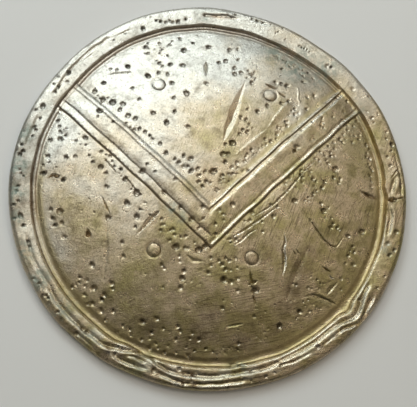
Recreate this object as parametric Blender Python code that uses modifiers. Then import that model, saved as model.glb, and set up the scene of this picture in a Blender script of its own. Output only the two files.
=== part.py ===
# Small cast brass round shield: a shallow domed plate with a raised V band and a flat rim,
# four flush rivets, and the two low strap handles that they hold on the hollow side.
# The shield lies face up on its rim. Units are metres, +Z is up and the V opens towards +Y.

import math
import random

import bmesh
import bpy
from mathutils import Matrix, Vector

MM = 0.001
GAP = 0.3 * MM  # left between pieces that touch

# Plate
OUTER_RADIUS = 75.0 * MM
RIM_WIDTH = 7.6 * MM  # from the outer edge to the step
CHANNEL_WIDTH = 2.7 * MM  # step, bead and two fine grooves between the rim and the field
WALL = 2.2 * MM
UNDERSIDE_LIFT = 0.9 * MM  # height of the hollow's edge above the rest plane
RIM_STEP = 0.9 * MM  # the rim stands this much over the field's edge
RIM_CROWN = 0.3 * MM  # the rim's face is slightly convex
EDGE_ROUNDING = 1.7 * MM
DOME_RISE = 9.0 * MM
GROOVE_DEPTH = 0.35 * MM
FACE_RINGS = 7
HOLLOW_RINGS = 4
TURN_STEPS = 64

# Raised V band
BAND_WIDTH = 12.0 * MM
BAND_RAISE = 0.8 * MM  # its two border beads stand this much over the field
BEAD_WIDTH = 1.7 * MM
BAND_GROOVE_WIDTH = 0.8 * MM
BAND_GROOVE_LIFT = 0.15 * MM
PANEL_LIFT = 0.5 * MM
BAND_LEDGE = 0.1 * MM  # the beads stand this far in from the band's own edge
BAND_POINT = Vector((-1.2 * MM, -16.8 * MM))  # where the band's middle line turns
BAND_HALF_ANGLE = math.radians(45.8)

# Rivets
HEAD_RADIUS = 2.6 * MM
HEAD_DEPTH = 1.2 * MM
HEAD_PROUD = 0.25 * MM
SHANK_RADIUS = 1.5 * MM
TAIL_RADIUS = 2.4 * MM
TAIL_HEIGHT = 0.7 * MM
RIVET_STEPS = 16

# The two pairs: middle, distance between the two rivets, and turn from the X axis
HAND_PAIR = {"middle": Vector((1.0 * MM, 37.5 * MM)), "spacing": 42.5 * MM, "turn": math.radians(-3.9)}
ARM_PAIR = {"middle": Vector((-3.5 * MM, -26.7 * MM)), "spacing": 35.4 * MM, "turn": math.radians(-3.6)}

# Strap handles
STRAP_WIDTH = 7.0 * MM
STRAP_THICKNESS = 0.9 * MM
STRAP_LIFT = 0.5 * MM  # clearance between a strap's bow and the rest plane
FOOT_LENGTH = 4.5 * MM  # from the rivet to where the strap starts to bend
RAMP_LENGTH = 6.0 * MM
RAMP_STEPS = 6
PAD_RADIUS = 6.0 * MM
PAD_DEPTH = 0.2 * MM  # the pad's lowest side stands this much off the hollow's wall

# Wear. Places are shares of the outer radius, so that they stay on a plate of another size.
# A gash: where it starts, where it ends, its width and its depth.
GASHES = (
    ((0.173, 0.573), (0.049, 0.211), 2.8 * MM, 1.1 * MM),
    ((-0.023, 0.673), (-0.027, 0.567), 1.7 * MM, 0.9 * MM),
    ((0.405, 0.450), (0.285, 0.292), 1.9 * MM, 0.8 * MM),
    ((0.268, 0.262), (0.178, 0.196), 1.6 * MM, 0.7 * MM),
    ((0.435, 0.544), (0.441, 0.430), 1.1 * MM, 0.5 * MM),
    ((-0.808, 0.024), (-0.742, 0.038), 1.8 * MM, 0.7 * MM),
    ((-0.537, -0.076), (-0.497, -0.156), 1.2 * MM, 0.6 * MM),
    ((-0.604, -0.226), (-0.594, -0.276), 2.2 * MM, 1.2 * MM),
    ((-0.258, -0.150), (-0.353, -0.275), 2.2 * MM, 1.0 * MM),
    ((0.376, -0.048), (0.106, -0.288), 2.8 * MM, 0.7 * MM),
    ((0.355, -0.248), (0.341, -0.445), 1.2 * MM, 0.5 * MM),
    ((0.470, -0.280), (0.372, -0.560), 3.0 * MM, 0.5 * MM),
    ((0.181, -0.457), (0.211, -0.571), 2.0 * MM, 1.1 * MM),
    ((0.507, -0.535), (0.622, -0.585), 2.4 * MM, 0.9 * MM),
    ((0.540, -0.405), (0.602, -0.458), 1.3 * MM, 0.6 * MM),
    ((0.760, -0.004), (0.845, -0.034), 2.0 * MM, 0.8 * MM),
    ((0.900, -0.033), (0.952, -0.036), 2.6 * MM, 1.0 * MM),
)
# A crease along the rim: first and last angle in degrees, share of the outer radius, and width.
RIM_CREASES = (
    (188, 236, 0.928, 1.3 * MM),
    (262, 292, 0.918, 1.2 * MM),
    (294, 318, 0.905, 1.2 * MM),
    (121, 141, 0.962, 0.9 * MM),
)
CREASE_STEP = math.radians(6.0)
# Large casting pits that stand alone: place and diameter.
LONE_PITS = (
    (-0.497, 0.447, 2.6 * MM),
    (-0.424, 0.385, 2.2 * MM),
    (-0.110, 0.485, 2.4 * MM),
    (-0.742, -0.150, 2.6 * MM),
    (-0.391, -0.061, 2.5 * MM),
    (-0.436, -0.105, 2.2 * MM),
    (0.560, -0.215, 2.5 * MM),
    (0.715, -0.230, 2.5 * MM),
    (-0.110, 0.612, 2.2 * MM),
    (0.075, 0.620, 2.2 * MM),
    (-0.610, -0.485, 2.4 * MM),
    (-0.935, -0.140, 2.5 * MM),
    (0.940, -0.225, 2.2 * MM),
    (0.185, -0.925, 2.4 * MM),
)
# Rows of pits: first place, last place, how many, and diameter.
PIT_ROWS = (
    ((-0.480, 0.500), (-0.300, 0.310), 5, 1.9 * MM),
    ((-0.310, -0.170), (-0.085, -0.290), 5, 1.9 * MM),
    ((0.060, -0.330), (0.085, -0.450), 4, 1.9 * MM),
    ((-0.680, -0.460), (-0.480, -0.590), 5, 1.9 * MM),
    ((-0.370, -0.730), (-0.100, -0.745), 5, 1.9 * MM),
)
PIT_WANDER = 0.018  # how far a row's pits stray, as a share of the outer radius
PIT_SIDES = 6

# What follows from the sizes above
RIM_RADIUS = OUTER_RADIUS - RIM_WIDTH
FIELD_RADIUS = RIM_RADIUS - CHANNEL_WIDTH
FIELD_EDGE_Z = UNDERSIDE_LIFT + WALL
RIM_TOP_Z = FIELD_EDGE_Z + RIM_STEP


def surface_z(radius, lift=0.0):
    # Height of the field over the rest plane; outside the field it stays at the edge's height.
    share = min(radius / FIELD_RADIUS, 1.0)
    return FIELD_EDGE_Z + DOME_RISE * (1.0 - share * share) + lift


def new_collection(name):
    collection = bpy.data.collections.new(name)
    bpy.context.scene.collection.children.link(collection)
    return collection


def brass(name, colour, roughness):
    material = bpy.data.materials.new(name)
    material.use_nodes = True
    shader = material.node_tree.nodes["Principled BSDF"]
    shader.inputs["Base Color"].default_value = (*colour, 1.0)
    shader.inputs["Roughness"].default_value = roughness
    shader.inputs["Metallic"].default_value = 1.0
    return material


def add_object(name, mesh, collection):
    piece = bpy.data.objects.new(name, mesh)
    collection.objects.link(piece)
    return piece


def as_tool(piece):
    piece.hide_render = True
    piece.display_type = "WIRE"
    return piece


def turned(name, profile, steps, collection):
    # Turns a list of (radius, height) points about the Z axis.
    shape = bmesh.new()
    points = [shape.verts.new((radius, 0.0, height)) for radius, height in profile]
    for upper, lower in zip(points, points[1:]):
        shape.edges.new((upper, lower))
    mesh = bpy.data.meshes.new(name)
    shape.to_mesh(mesh)
    shape.free()
    piece = add_object(name, mesh, collection)
    screw = piece.modifiers.new("turn", "SCREW")
    screw.steps = screw.render_steps = steps
    screw.use_merge_vertices = True
    screw.merge_threshold = 0.00001
    return piece


def outline_solid(name, points, thickness, matrix, collection):
    # A flat outline given its thickness on both sides of its plane, as a closed mesh.
    curve = bpy.data.curves.new(name, "CURVE")
    curve.dimensions = "2D"
    curve.fill_mode = "BOTH"
    curve.extrude = thickness / 2
    spline = curve.splines.new("POLY")
    spline.points.add(len(points) - 1)
    for target, (x, y) in zip(spline.points, points):
        target.co = (x, y, 0.0, 1.0)
    spline.use_cyclic_u = True
    return curve_solid(name, curve, matrix, collection)


def curve_solid(name, curve, matrix, collection):
    # The curve's mesh with its caps welded, because a Boolean takes no curve.
    guide = add_object(name + " guide", curve, collection)
    bpy.context.view_layer.update()
    evaluated = guide.evaluated_get(bpy.context.evaluated_depsgraph_get())
    mesh = bpy.data.meshes.new_from_object(evaluated)
    bpy.data.objects.remove(guide)
    shape = bmesh.new()
    shape.from_mesh(mesh)
    bmesh.ops.remove_doubles(shape, verts=shape.verts, dist=0.000001)
    shape.transform(matrix)
    shape.to_mesh(mesh)
    shape.free()
    return add_object(name, mesh, collection)


def boolean(piece, tool, operation, crossing=False):
    # "crossing" is for a tool whose own bodies may run into one another.
    step = piece.modifiers.new(tool.name, "BOOLEAN")
    step.operation = operation
    step.solver = "EXACT"
    step.use_self = crossing
    step.object = tool


def cylinder(name, radius, low, high, place, steps, collection):
    shape = bmesh.new()
    middle = Matrix.Translation((place.x, place.y, (low + high) / 2))
    bmesh.ops.create_cone(
        shape, cap_ends=True, segments=steps, radius1=radius, radius2=radius,
        depth=high - low, matrix=middle,
    )
    mesh = bpy.data.meshes.new(name)
    shape.to_mesh(mesh)
    shape.free()
    return add_object(name, mesh, collection)


def dome_line(lift, rings=FACE_RINGS):
    # The field's line from the middle outwards, as (radius, height) points.
    radii = [FIELD_RADIUS * ring / rings for ring in range(rings + 1)]
    return [(radius, surface_z(radius, lift)) for radius in radii]


def dome_slab(name, low, high, collection):
    # A slab that follows the field from "low" to "high" above it, and ends just inside the rim.
    reach = RIM_RADIUS + GAP
    top = dome_line(high) + [(reach, surface_z(reach, high))]
    bottom = dome_line(low) + [(reach, surface_z(reach, low))]
    return as_tool(turned(name, top + bottom[::-1], TURN_STEPS, collection))


def plate_profile():
    channel = CHANNEL_WIDTH
    edge = EDGE_ROUNDING
    rim_middle = RIM_RADIUS + RIM_WIDTH * 0.42
    groove_z = FIELD_EDGE_Z - GROOVE_DEPTH
    face = dome_line(0.0) + [
        (FIELD_RADIUS + channel * 0.12, groove_z),
        (FIELD_RADIUS + channel * 0.30, FIELD_EDGE_Z),
        (FIELD_RADIUS + channel * 0.50, groove_z),
        (RIM_RADIUS - channel * 0.06, RIM_TOP_Z - GROOVE_DEPTH / 3),
        (RIM_RADIUS + channel * 0.12, RIM_TOP_Z),
        (rim_middle, RIM_TOP_Z + RIM_CROWN),
        (OUTER_RADIUS - edge, RIM_TOP_Z),
        (OUTER_RADIUS - edge * 0.3, RIM_TOP_Z - edge * 0.42),
        (OUTER_RADIUS, RIM_TOP_Z - edge),
        (OUTER_RADIUS, edge * 0.6),
        (OUTER_RADIUS - edge * 0.6, 0.0),
        (RIM_RADIUS - GAP, 0.0),
    ]
    return face + dome_line(-WALL, HOLLOW_RINGS)[::-1]


def band_outline(inner, outer):
    # The V between two distances from the band's middle line; positive is below the point.
    along = Vector((math.sin(BAND_HALF_ANGLE), math.cos(BAND_HALF_ANGLE)))
    length = 2 * OUTER_RADIUS
    corner = math.sin(BAND_HALF_ANGLE)

    def arm_points(distance):
        point = BAND_POINT - Vector((0.0, distance / corner))
        right = point + along * length
        left = point + Vector((-along.x, along.y)) * length
        return left, point, right

    return [*arm_points(outer), *reversed(arm_points(inner))]


def band_tool(name, inner, outer, low, high, collection):
    # The V outline as a tall prism, kept only where it lies inside a slab over the dome.
    height = 4 * (DOME_RISE + RIM_TOP_Z)
    prism = outline_solid(name, band_outline(inner, outer), height, Matrix(), collection)
    boolean(prism, dome_slab(name + " slab", low, high, collection), "INTERSECT")
    return as_tool(prism)


def rivet_places(pair):
    half = Vector((pair["spacing"] / 2, 0.0))
    half.rotate(Matrix.Rotation(pair["turn"], 2))
    return pair["middle"] - half, pair["middle"] + half


def pad_level(pair):
    # Both pads of a strap end at one height, set by the one that lies further out.
    furthest = max(place.length for place in rivet_places(pair)) + PAD_RADIUS
    return surface_z(furthest, -WALL) - PAD_DEPTH


def head_floor(place):
    return surface_z(place.length + HEAD_RADIUS + GAP) - HEAD_DEPTH


def gash_tool(collection):
    # Boat-shaped cutters, each with its middle on the chord between its two ends.
    shape = bmesh.new()
    for start, end, width, depth in GASHES:
        low = Vector(start) * OUTER_RADIUS
        high = Vector(end) * OUTER_RADIUS
        first = Vector((*low, face_z(low)))
        last = Vector((*high, face_z(high)))
        run = last - first
        size = Matrix.Diagonal((run.length / 2, width / 2, depth, 1.0))
        turn = run.to_track_quat("X", "Z").to_matrix().to_4x4()
        bmesh.ops.create_uvsphere(
            shape, u_segments=8, v_segments=6, radius=1.0,
            matrix=Matrix.Translation((first + last) / 2) @ turn @ size,
        )
    mesh = bpy.data.meshes.new("gashes")
    shape.to_mesh(mesh)
    shape.free()
    return as_tool(add_object("gashes", mesh, collection))


def face_z(place):
    # Height of the plate's face, the rim included.
    if place.length > RIM_RADIUS:
        return RIM_TOP_Z + RIM_CROWN / 2
    return surface_z(place.length)


def pit_places():
    chance = random.Random(7)
    places = [(Vector((x, y)) * OUTER_RADIUS, size) for x, y, size in LONE_PITS]
    stray = PIT_WANDER * OUTER_RADIUS
    for start, end, count, size in PIT_ROWS:
        for number in range(count):
            share = number / (count - 1)
            place = Vector(start).lerp(Vector(end), share) * OUTER_RADIUS
            place += Vector((chance.uniform(-stray, stray), chance.uniform(-stray, stray)))
            places.append((place, size * chance.uniform(0.8, 1.1)))
    return places


def pit_tool(collection):
    shape = bmesh.new()
    for place, size in pit_places():
        depth = size * 0.5
        bmesh.ops.create_cone(
            shape, cap_ends=True, segments=PIT_SIDES, radius1=size * 0.25, radius2=size * 0.75,
            depth=2 * depth, matrix=Matrix.Translation((place.x, place.y, face_z(place))),
        )
    mesh = bpy.data.meshes.new("pits")
    shape.to_mesh(mesh)
    shape.free()
    return as_tool(add_object("pits", mesh, collection))


def crease_tool(number, first, last, share, width, collection):
    # A six-sided tube along an arc of the rim, sunk to its middle in the rim's face.
    name = f"rim crease {number}"
    curve = bpy.data.curves.new(name, "CURVE")
    curve.dimensions = "3D"
    curve.bevel_depth = width / 2
    curve.bevel_resolution = 1
    curve.use_fill_caps = True
    start = math.radians(first)
    sweep = math.radians(last) - start
    count = max(3, round(sweep / CREASE_STEP) + 1)
    spline = curve.splines.new("POLY")
    spline.points.add(count - 1)
    for step, point in enumerate(spline.points):
        angle = start + sweep * step / (count - 1)
        point.co = (
            share * OUTER_RADIUS * math.cos(angle), share * OUTER_RADIUS * math.sin(angle),
            RIM_TOP_Z + RIM_CROWN, 1.0,
        )
        point.radius = 0.35 if step in (0, count - 1) else 1.0
    return as_tool(curve_solid(name, curve, Matrix(), collection))


def add_pads_and_seats(plate, tools):
    # A flat pad in the hollow under each rivet, a seat for its head and a hole for its shank.
    core = as_tool(turned("core", dome_line(-WALL / 2) + [(FIELD_RADIUS, 0.0), (0.0, 0.0)], TURN_STEPS, tools))
    for pair in (HAND_PAIR, ARM_PAIR):
        level = pad_level(pair)
        for side, place in enumerate(rivet_places(pair)):
            label = f"{'upper' if pair is HAND_PAIR else 'lower'} {side}"
            top = surface_z(0.0)
            pad = as_tool(cylinder("pad " + label, PAD_RADIUS, level, top, place, 20, tools))
            boolean(pad, core, "INTERSECT")
            boolean(plate, pad, "UNION")
            seat_radius = HEAD_RADIUS + GAP
            seat = cylinder("seat " + label, seat_radius, head_floor(place), 2 * top, place, 20, tools)
            hole = cylinder("hole " + label, SHANK_RADIUS + GAP, 0.0, top, place, RIVET_STEPS, tools)
            boolean(plate, as_tool(seat), "DIFFERENCE")
            boolean(plate, as_tool(hole), "DIFFERENCE")


def make_plate(parts, tools, material):
    plate = turned("shield_plate", plate_profile(), TURN_STEPS, parts)
    edge = BAND_WIDTH / 2
    bead = edge - BAND_LEDGE
    groove = bead - BEAD_WIDTH
    panel = groove - BAND_GROOVE_WIDTH
    layers = (
        ("band", -edge, edge, BAND_GROOVE_LIFT),
        ("panel", -panel, panel, PANEL_LIFT),
        ("upper bead", -bead, -groove, BAND_RAISE),
        ("lower bead", groove, bead, BAND_RAISE),
    )
    for name, inner, outer, lift in layers:
        boolean(plate, band_tool(name, inner, outer, -WALL / 2, lift, tools), "UNION")
    add_pads_and_seats(plate, tools)
    boolean(plate, gash_tool(tools), "DIFFERENCE", crossing=True)
    boolean(plate, pit_tool(tools), "DIFFERENCE", crossing=True)
    for number, crease in enumerate(RIM_CREASES):
        boolean(plate, crease_tool(number, *crease, tools), "DIFFERENCE")
    plate.data.materials.append(material)
    return plate


def make_rivet(name, place, pair, parts, tools, material):
    head_under = head_floor(place) + GAP
    tail_top = pad_level(pair) - 2 * GAP - STRAP_THICKNESS
    profile = [
        (0.0, surface_z(0.0)),
        (HEAD_RADIUS, surface_z(0.0)),
        (HEAD_RADIUS, head_under),
        (SHANK_RADIUS, head_under),
        (SHANK_RADIUS, tail_top),
        (TAIL_RADIUS, tail_top),
        (TAIL_RADIUS, tail_top - TAIL_HEIGHT / 2),
        (TAIL_RADIUS * 0.6, tail_top - TAIL_HEIGHT),
        (0.0, tail_top - TAIL_HEIGHT),
    ]
    rivet = turned(name, profile, RIVET_STEPS, parts)
    rivet.location = (place.x, place.y, 0.0)
    boolean(rivet, bpy.data.objects["head trim"], "INTERSECT")
    rivet.data.materials.append(material)
    return rivet


def strap_line(pair):
    # The strap's underside from end to end, as (distance from its middle, height) points.
    foot_z = pad_level(pair) - GAP - STRAP_THICKNESS
    rivet_at = pair["spacing"] / 2
    bend_at = rivet_at - FOOT_LENGTH
    half = [(rivet_at + STRAP_WIDTH / 2, foot_z)]
    for step in range(RAMP_STEPS + 1):
        share = step / RAMP_STEPS
        drop = (1.0 - math.cos(math.pi * share)) / 2
        half.append((bend_at - RAMP_LENGTH * share, foot_z + (STRAP_LIFT - foot_z) * drop))
    return [(-x, z) for x, z in half] + half[::-1]


def strap_plan(pair):
    # The strap seen from above: straight sides and a round end about each rivet.
    points = []
    for side in (1, -1):
        for step in range(9):
            angle = side * math.pi / 2 - math.pi * step / 8
            x = side * pair["spacing"] / 2 + math.cos(angle) * STRAP_WIDTH / 2
            points.append((x, math.sin(angle) * STRAP_WIDTH / 2))
    return points


def make_strap(name, pair, parts, tools, material):
    under = strap_line(pair)
    outline = under + [(x, z + STRAP_THICKNESS) for x, z in reversed(under)]
    stand = Matrix.Rotation(math.pi / 2, 4, "X")
    place = Matrix.Translation((*pair["middle"], 0.0)) @ Matrix.Rotation(pair["turn"], 4, "Z")
    strap = outline_solid(name, outline, STRAP_WIDTH, place @ stand, parts)
    plan = as_tool(outline_solid(name + " plan", strap_plan(pair), 4 * surface_z(0.0), place, tools))
    boolean(strap, plan, "INTERSECT")
    for side, spot in enumerate(rivet_places(pair)):
        hole = cylinder(
            f"{name} hole {side}", SHANK_RADIUS + GAP, 0.0, surface_z(0.0), spot, RIVET_STEPS, tools,
        )
        boolean(strap, as_tool(hole), "DIFFERENCE")
    strap.data.materials.append(material)
    return strap


def main():
    for piece in list(bpy.data.objects):
        bpy.data.objects.remove(piece)
    parts = new_collection("round shield")
    tools = new_collection("cutters")
    plate_brass = brass("aged cast brass", (0.56, 0.47, 0.27), 0.34)
    rivet_brass = brass("rivet brass", (0.60, 0.52, 0.33), 0.32)
    strap_brass = brass("dull strip brass", (0.42, 0.34, 0.19), 0.45)

    make_plate(parts, tools, plate_brass)
    dome_slab("head trim", -4 * DOME_RISE, HEAD_PROUD, tools)
    for height, pair in (("upper", HAND_PAIR), ("lower", ARM_PAIR)):
        for side, place in zip(("left", "right"), rivet_places(pair)):
            make_rivet(f"rivet_{height}_{side}", place, pair, parts, tools, rivet_brass)
    make_strap("hand_strap", HAND_PAIR, parts, tools, strap_brass)
    make_strap("arm_strap", ARM_PAIR, parts, tools, strap_brass)


main()
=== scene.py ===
import bpy
import math
import random
import numpy as np
from mathutils import Matrix, Vector


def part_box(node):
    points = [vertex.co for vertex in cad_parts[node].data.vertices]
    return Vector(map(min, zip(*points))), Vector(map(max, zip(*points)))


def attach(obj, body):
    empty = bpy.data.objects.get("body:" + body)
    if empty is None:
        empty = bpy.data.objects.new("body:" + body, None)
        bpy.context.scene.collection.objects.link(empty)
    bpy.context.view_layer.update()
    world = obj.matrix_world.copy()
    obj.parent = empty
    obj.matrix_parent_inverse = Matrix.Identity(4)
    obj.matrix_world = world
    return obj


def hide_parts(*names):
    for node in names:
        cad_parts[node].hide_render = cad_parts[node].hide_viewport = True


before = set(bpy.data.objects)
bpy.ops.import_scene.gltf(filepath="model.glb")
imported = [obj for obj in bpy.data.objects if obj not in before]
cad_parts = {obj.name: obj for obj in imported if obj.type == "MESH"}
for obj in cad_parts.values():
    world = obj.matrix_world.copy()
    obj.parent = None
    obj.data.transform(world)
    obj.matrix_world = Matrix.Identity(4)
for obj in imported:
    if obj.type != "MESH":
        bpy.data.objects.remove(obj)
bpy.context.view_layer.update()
mm = 0.001


# Camera: almost straight above the lying shield, tilted towards its lower edge and turned a little

cameraValues = {
    "distance": 375 * mm,
    "tilt": 17.4,           # degrees off the plumb line, towards -Y
    "turn": -17.5,          # degrees round the plumb line
    "lensPixels": 995,      # focal length in pixels of the 417 wide frame
    "frameWidth": 417,
    "lookAt": (-0.6 * mm, -5.1 * mm, 0),
}


def addCamera(v):
    tilt, turn = math.radians(v["tilt"]), math.radians(v["turn"])
    back = Vector((math.sin(turn) * math.sin(tilt), -math.cos(turn) * math.sin(tilt), math.cos(tilt)))
    place = back * v["distance"]
    back = (place - Vector(v["lookAt"])).normalized()
    side = Vector((0, 1, 0)).cross(back).normalized()
    up = back.cross(side)
    bpy.ops.object.camera_add(location=place)
    camera = bpy.context.object
    camera.rotation_mode = "QUATERNION"
    camera.rotation_quaternion = Matrix((side, up, back)).transposed().to_quaternion()
    camera.data.sensor_width = 36
    camera.data.lens = 36 * v["lensPixels"] / v["frameWidth"]
    camera.data.clip_start = 0.01
    bpy.context.scene.camera = camera


# Floor and lights: a pale floor and soft lights, the strong ones beyond the top left

stageValues = {
    "floorSize": 3.0,
    "floorColor": (0.84, 0.84, 0.85, 1),
    "lightAway": 0.95,          # distance of every light from the shield
    "lightSize": 0.40,
    "dayColor": (0.92, 1.0, 0.99),
    "warmColor": (1.0, 0.88, 0.68),
    "worldColor": (0.80, 0.82, 0.86, 1),
    "worldPower": 0.03,
    "lights": {                 # direction, power and how warm; most light comes from beyond the top left
        "window left": ((-0.45, 0.68, 0.58), 1.72, 0.0),
        "window right": ((0.10, 0.68, 0.73), 1.5, 0.0),
        "window low": ((-0.18, 0.86, 0.48), 1.05, 0.0),
        "left": ((-0.47, 0.38, 0.80), 0.86, 0.3),
        "above": ((-0.18, 0.20, 0.96), 0.7, 0.7),
        "above far": ((-0.08, 0.45, 0.88), 0.35, 0.2),
        "above near": ((0.04, -0.28, 0.96), 0.28, 0.8),
        "right": ((0.52, 0.20, 0.83), 0.8, 1.0),
        "near right": ((0.60, -0.45, 0.66), 0.5, 1.0),
        "near left": ((-0.75, -0.45, 0.48), 0.4, 0.8),
        "far right": ((0.65, 0.55, 0.50), 0.3, 0.6),
    },
}


def softLight(name, direction, power, warm, v):
    place = Vector(direction).normalized() * v["lightAway"]
    bpy.ops.object.light_add(type="AREA", location=place)
    light = bpy.context.object
    light.name = name
    light.data.shape = "DISK"
    light.data.size = v["lightSize"]
    light.data.energy = power
    light.data.color = Vector(v["dayColor"]).lerp(Vector(v["warmColor"]), warm)
    light.rotation_euler = (-place).to_track_quat("-Z", "Y").to_euler()


def addStage(v):
    bpy.ops.mesh.primitive_plane_add(size=v["floorSize"], location=(0, 0, -0.05 * mm))
    floor = bpy.context.object
    floor.name = "floor"
    paint = bpy.data.materials.new("pale floor")
    paint.use_nodes = True
    shader = paint.node_tree.nodes["Principled BSDF"]
    shader.inputs["Base Color"].default_value = v["floorColor"]
    shader.inputs["Roughness"].default_value = 0.9
    floor.data.materials.append(paint)
    for name, (direction, power, warm) in v["lights"].items():
        softLight(name, direction, power, warm, v)
    world = bpy.data.worlds.new("studio")
    bpy.context.scene.world = world
    world.use_nodes = True
    backdrop = world.node_tree.nodes["Background"]
    backdrop.inputs["Color"].default_value = v["worldColor"]
    backdrop.inputs["Strength"].default_value = v["worldPower"]
    bpy.context.scene.view_settings.view_transform = "Standard"


addCamera(cameraValues)
addStage(stageValues)
print("camera, floor and lights placed")


# The plate's measures, all in mm; places are (x, y) from the plate's centre, +y towards the open V

plateValues = {
    "netRings": 64,             # rings of the even net before it is refined
    "backRings": 32,
    "fieldRadius": 64.7,
    "fieldEdge": 3.1,           # height of the field where it meets the channel
    "domeRise": 9.0,
    "wall": 2.2,
    "padGap": 0.3,              # between the straps and the pads that they touch
    "edgeStart": 72.9,          # where the rim's face starts to round over
    "backStart": 73.4,          # and where its underside does
    "edgeHeight": 2.3,          # height of the widest point of the edge
    "rimTop": 4.02,
    "pitScale": 0.92,
    "handWobble": 0.28,         # how far the hand-made lines stray
    "softDent": 0.05,           # height of the field's broad unevenness
    "fineDent": 0.03,           # of the small one all over
    "rimDent": 0.07,            # and of the hammered rim
    "settle": (0.27, 0.42),     # how far places near the middle move, as settled() says
    "seed": 11,
}

# The plate's face from the field's edge to the rounding: (radius, height)
channelLine = [
    (63.4, 3.46), (64.1, 3.02), (64.6, 2.8), (64.85, 2.74), (65.05, 2.9), (65.3, 3.28), (65.6, 3.27),
    (66.2, 2.95), (66.4, 2.74), (66.52, 2.8), (66.64, 3.3), (66.84, 4.05), (67.05, 4.17), (68.2, 4.2),
    (70.5, 4.2), (72.0, 4.12), (72.9, 4.02),
]
# The same on the lower half, where the bead is low and the rim's inner edge slopes
lowerChannelLine = [
    (63.4, 3.46), (64.1, 3.02), (64.6, 2.8), (65.3, 2.74), (65.65, 2.8), (65.9, 3.08), (66.15, 3.1),
    (66.4, 2.88), (66.55, 2.95), (66.8, 3.35), (67.1, 3.8), (67.5, 4.15), (68.2, 4.2), (70.5, 4.2),
    (72.0, 4.12), (72.9, 4.02),
]

# Sections across the two arms of the V band: (distance from the middle line, height over the field)
bandPoint = (-1.2, -16.8)
bandHalfAngle = 45.8
leftSection = [
    (-7, 0), (-6.3, 0), (-5.4, 0.66), (-5.1, 0.74), (-4.3, 0.86), (-3.65, 0.6), (-3.3, 0.58), (0.3, 0.82),
    (2.1, 0.6), (2.5, 0.26), (2.85, 0.36), (5.0, 0.72), (5.2, 0.66), (5.6, -0.1), (5.8, -0.18), (6.2, 0.02),
    (7.4, 0),
]
rightSection = [
    (-7, 0), (-5.9, 0), (-5.5, 0.22), (-4.9, 0.62), (-4.7, 0.58), (-4.25, 0.08), (-4.0, 0.12), (-3.7, 0.3),
    (-2.6, 0.78), (-2.2, 0.82), (0, 0.6), (3.6, 0.42), (4.1, 0.2), (4.45, 0.18), (5.4, 0.56), (5.7, 0.5),
    (6.1, -0.14), (6.4, -0.2), (7.4, 0),
]

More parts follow.
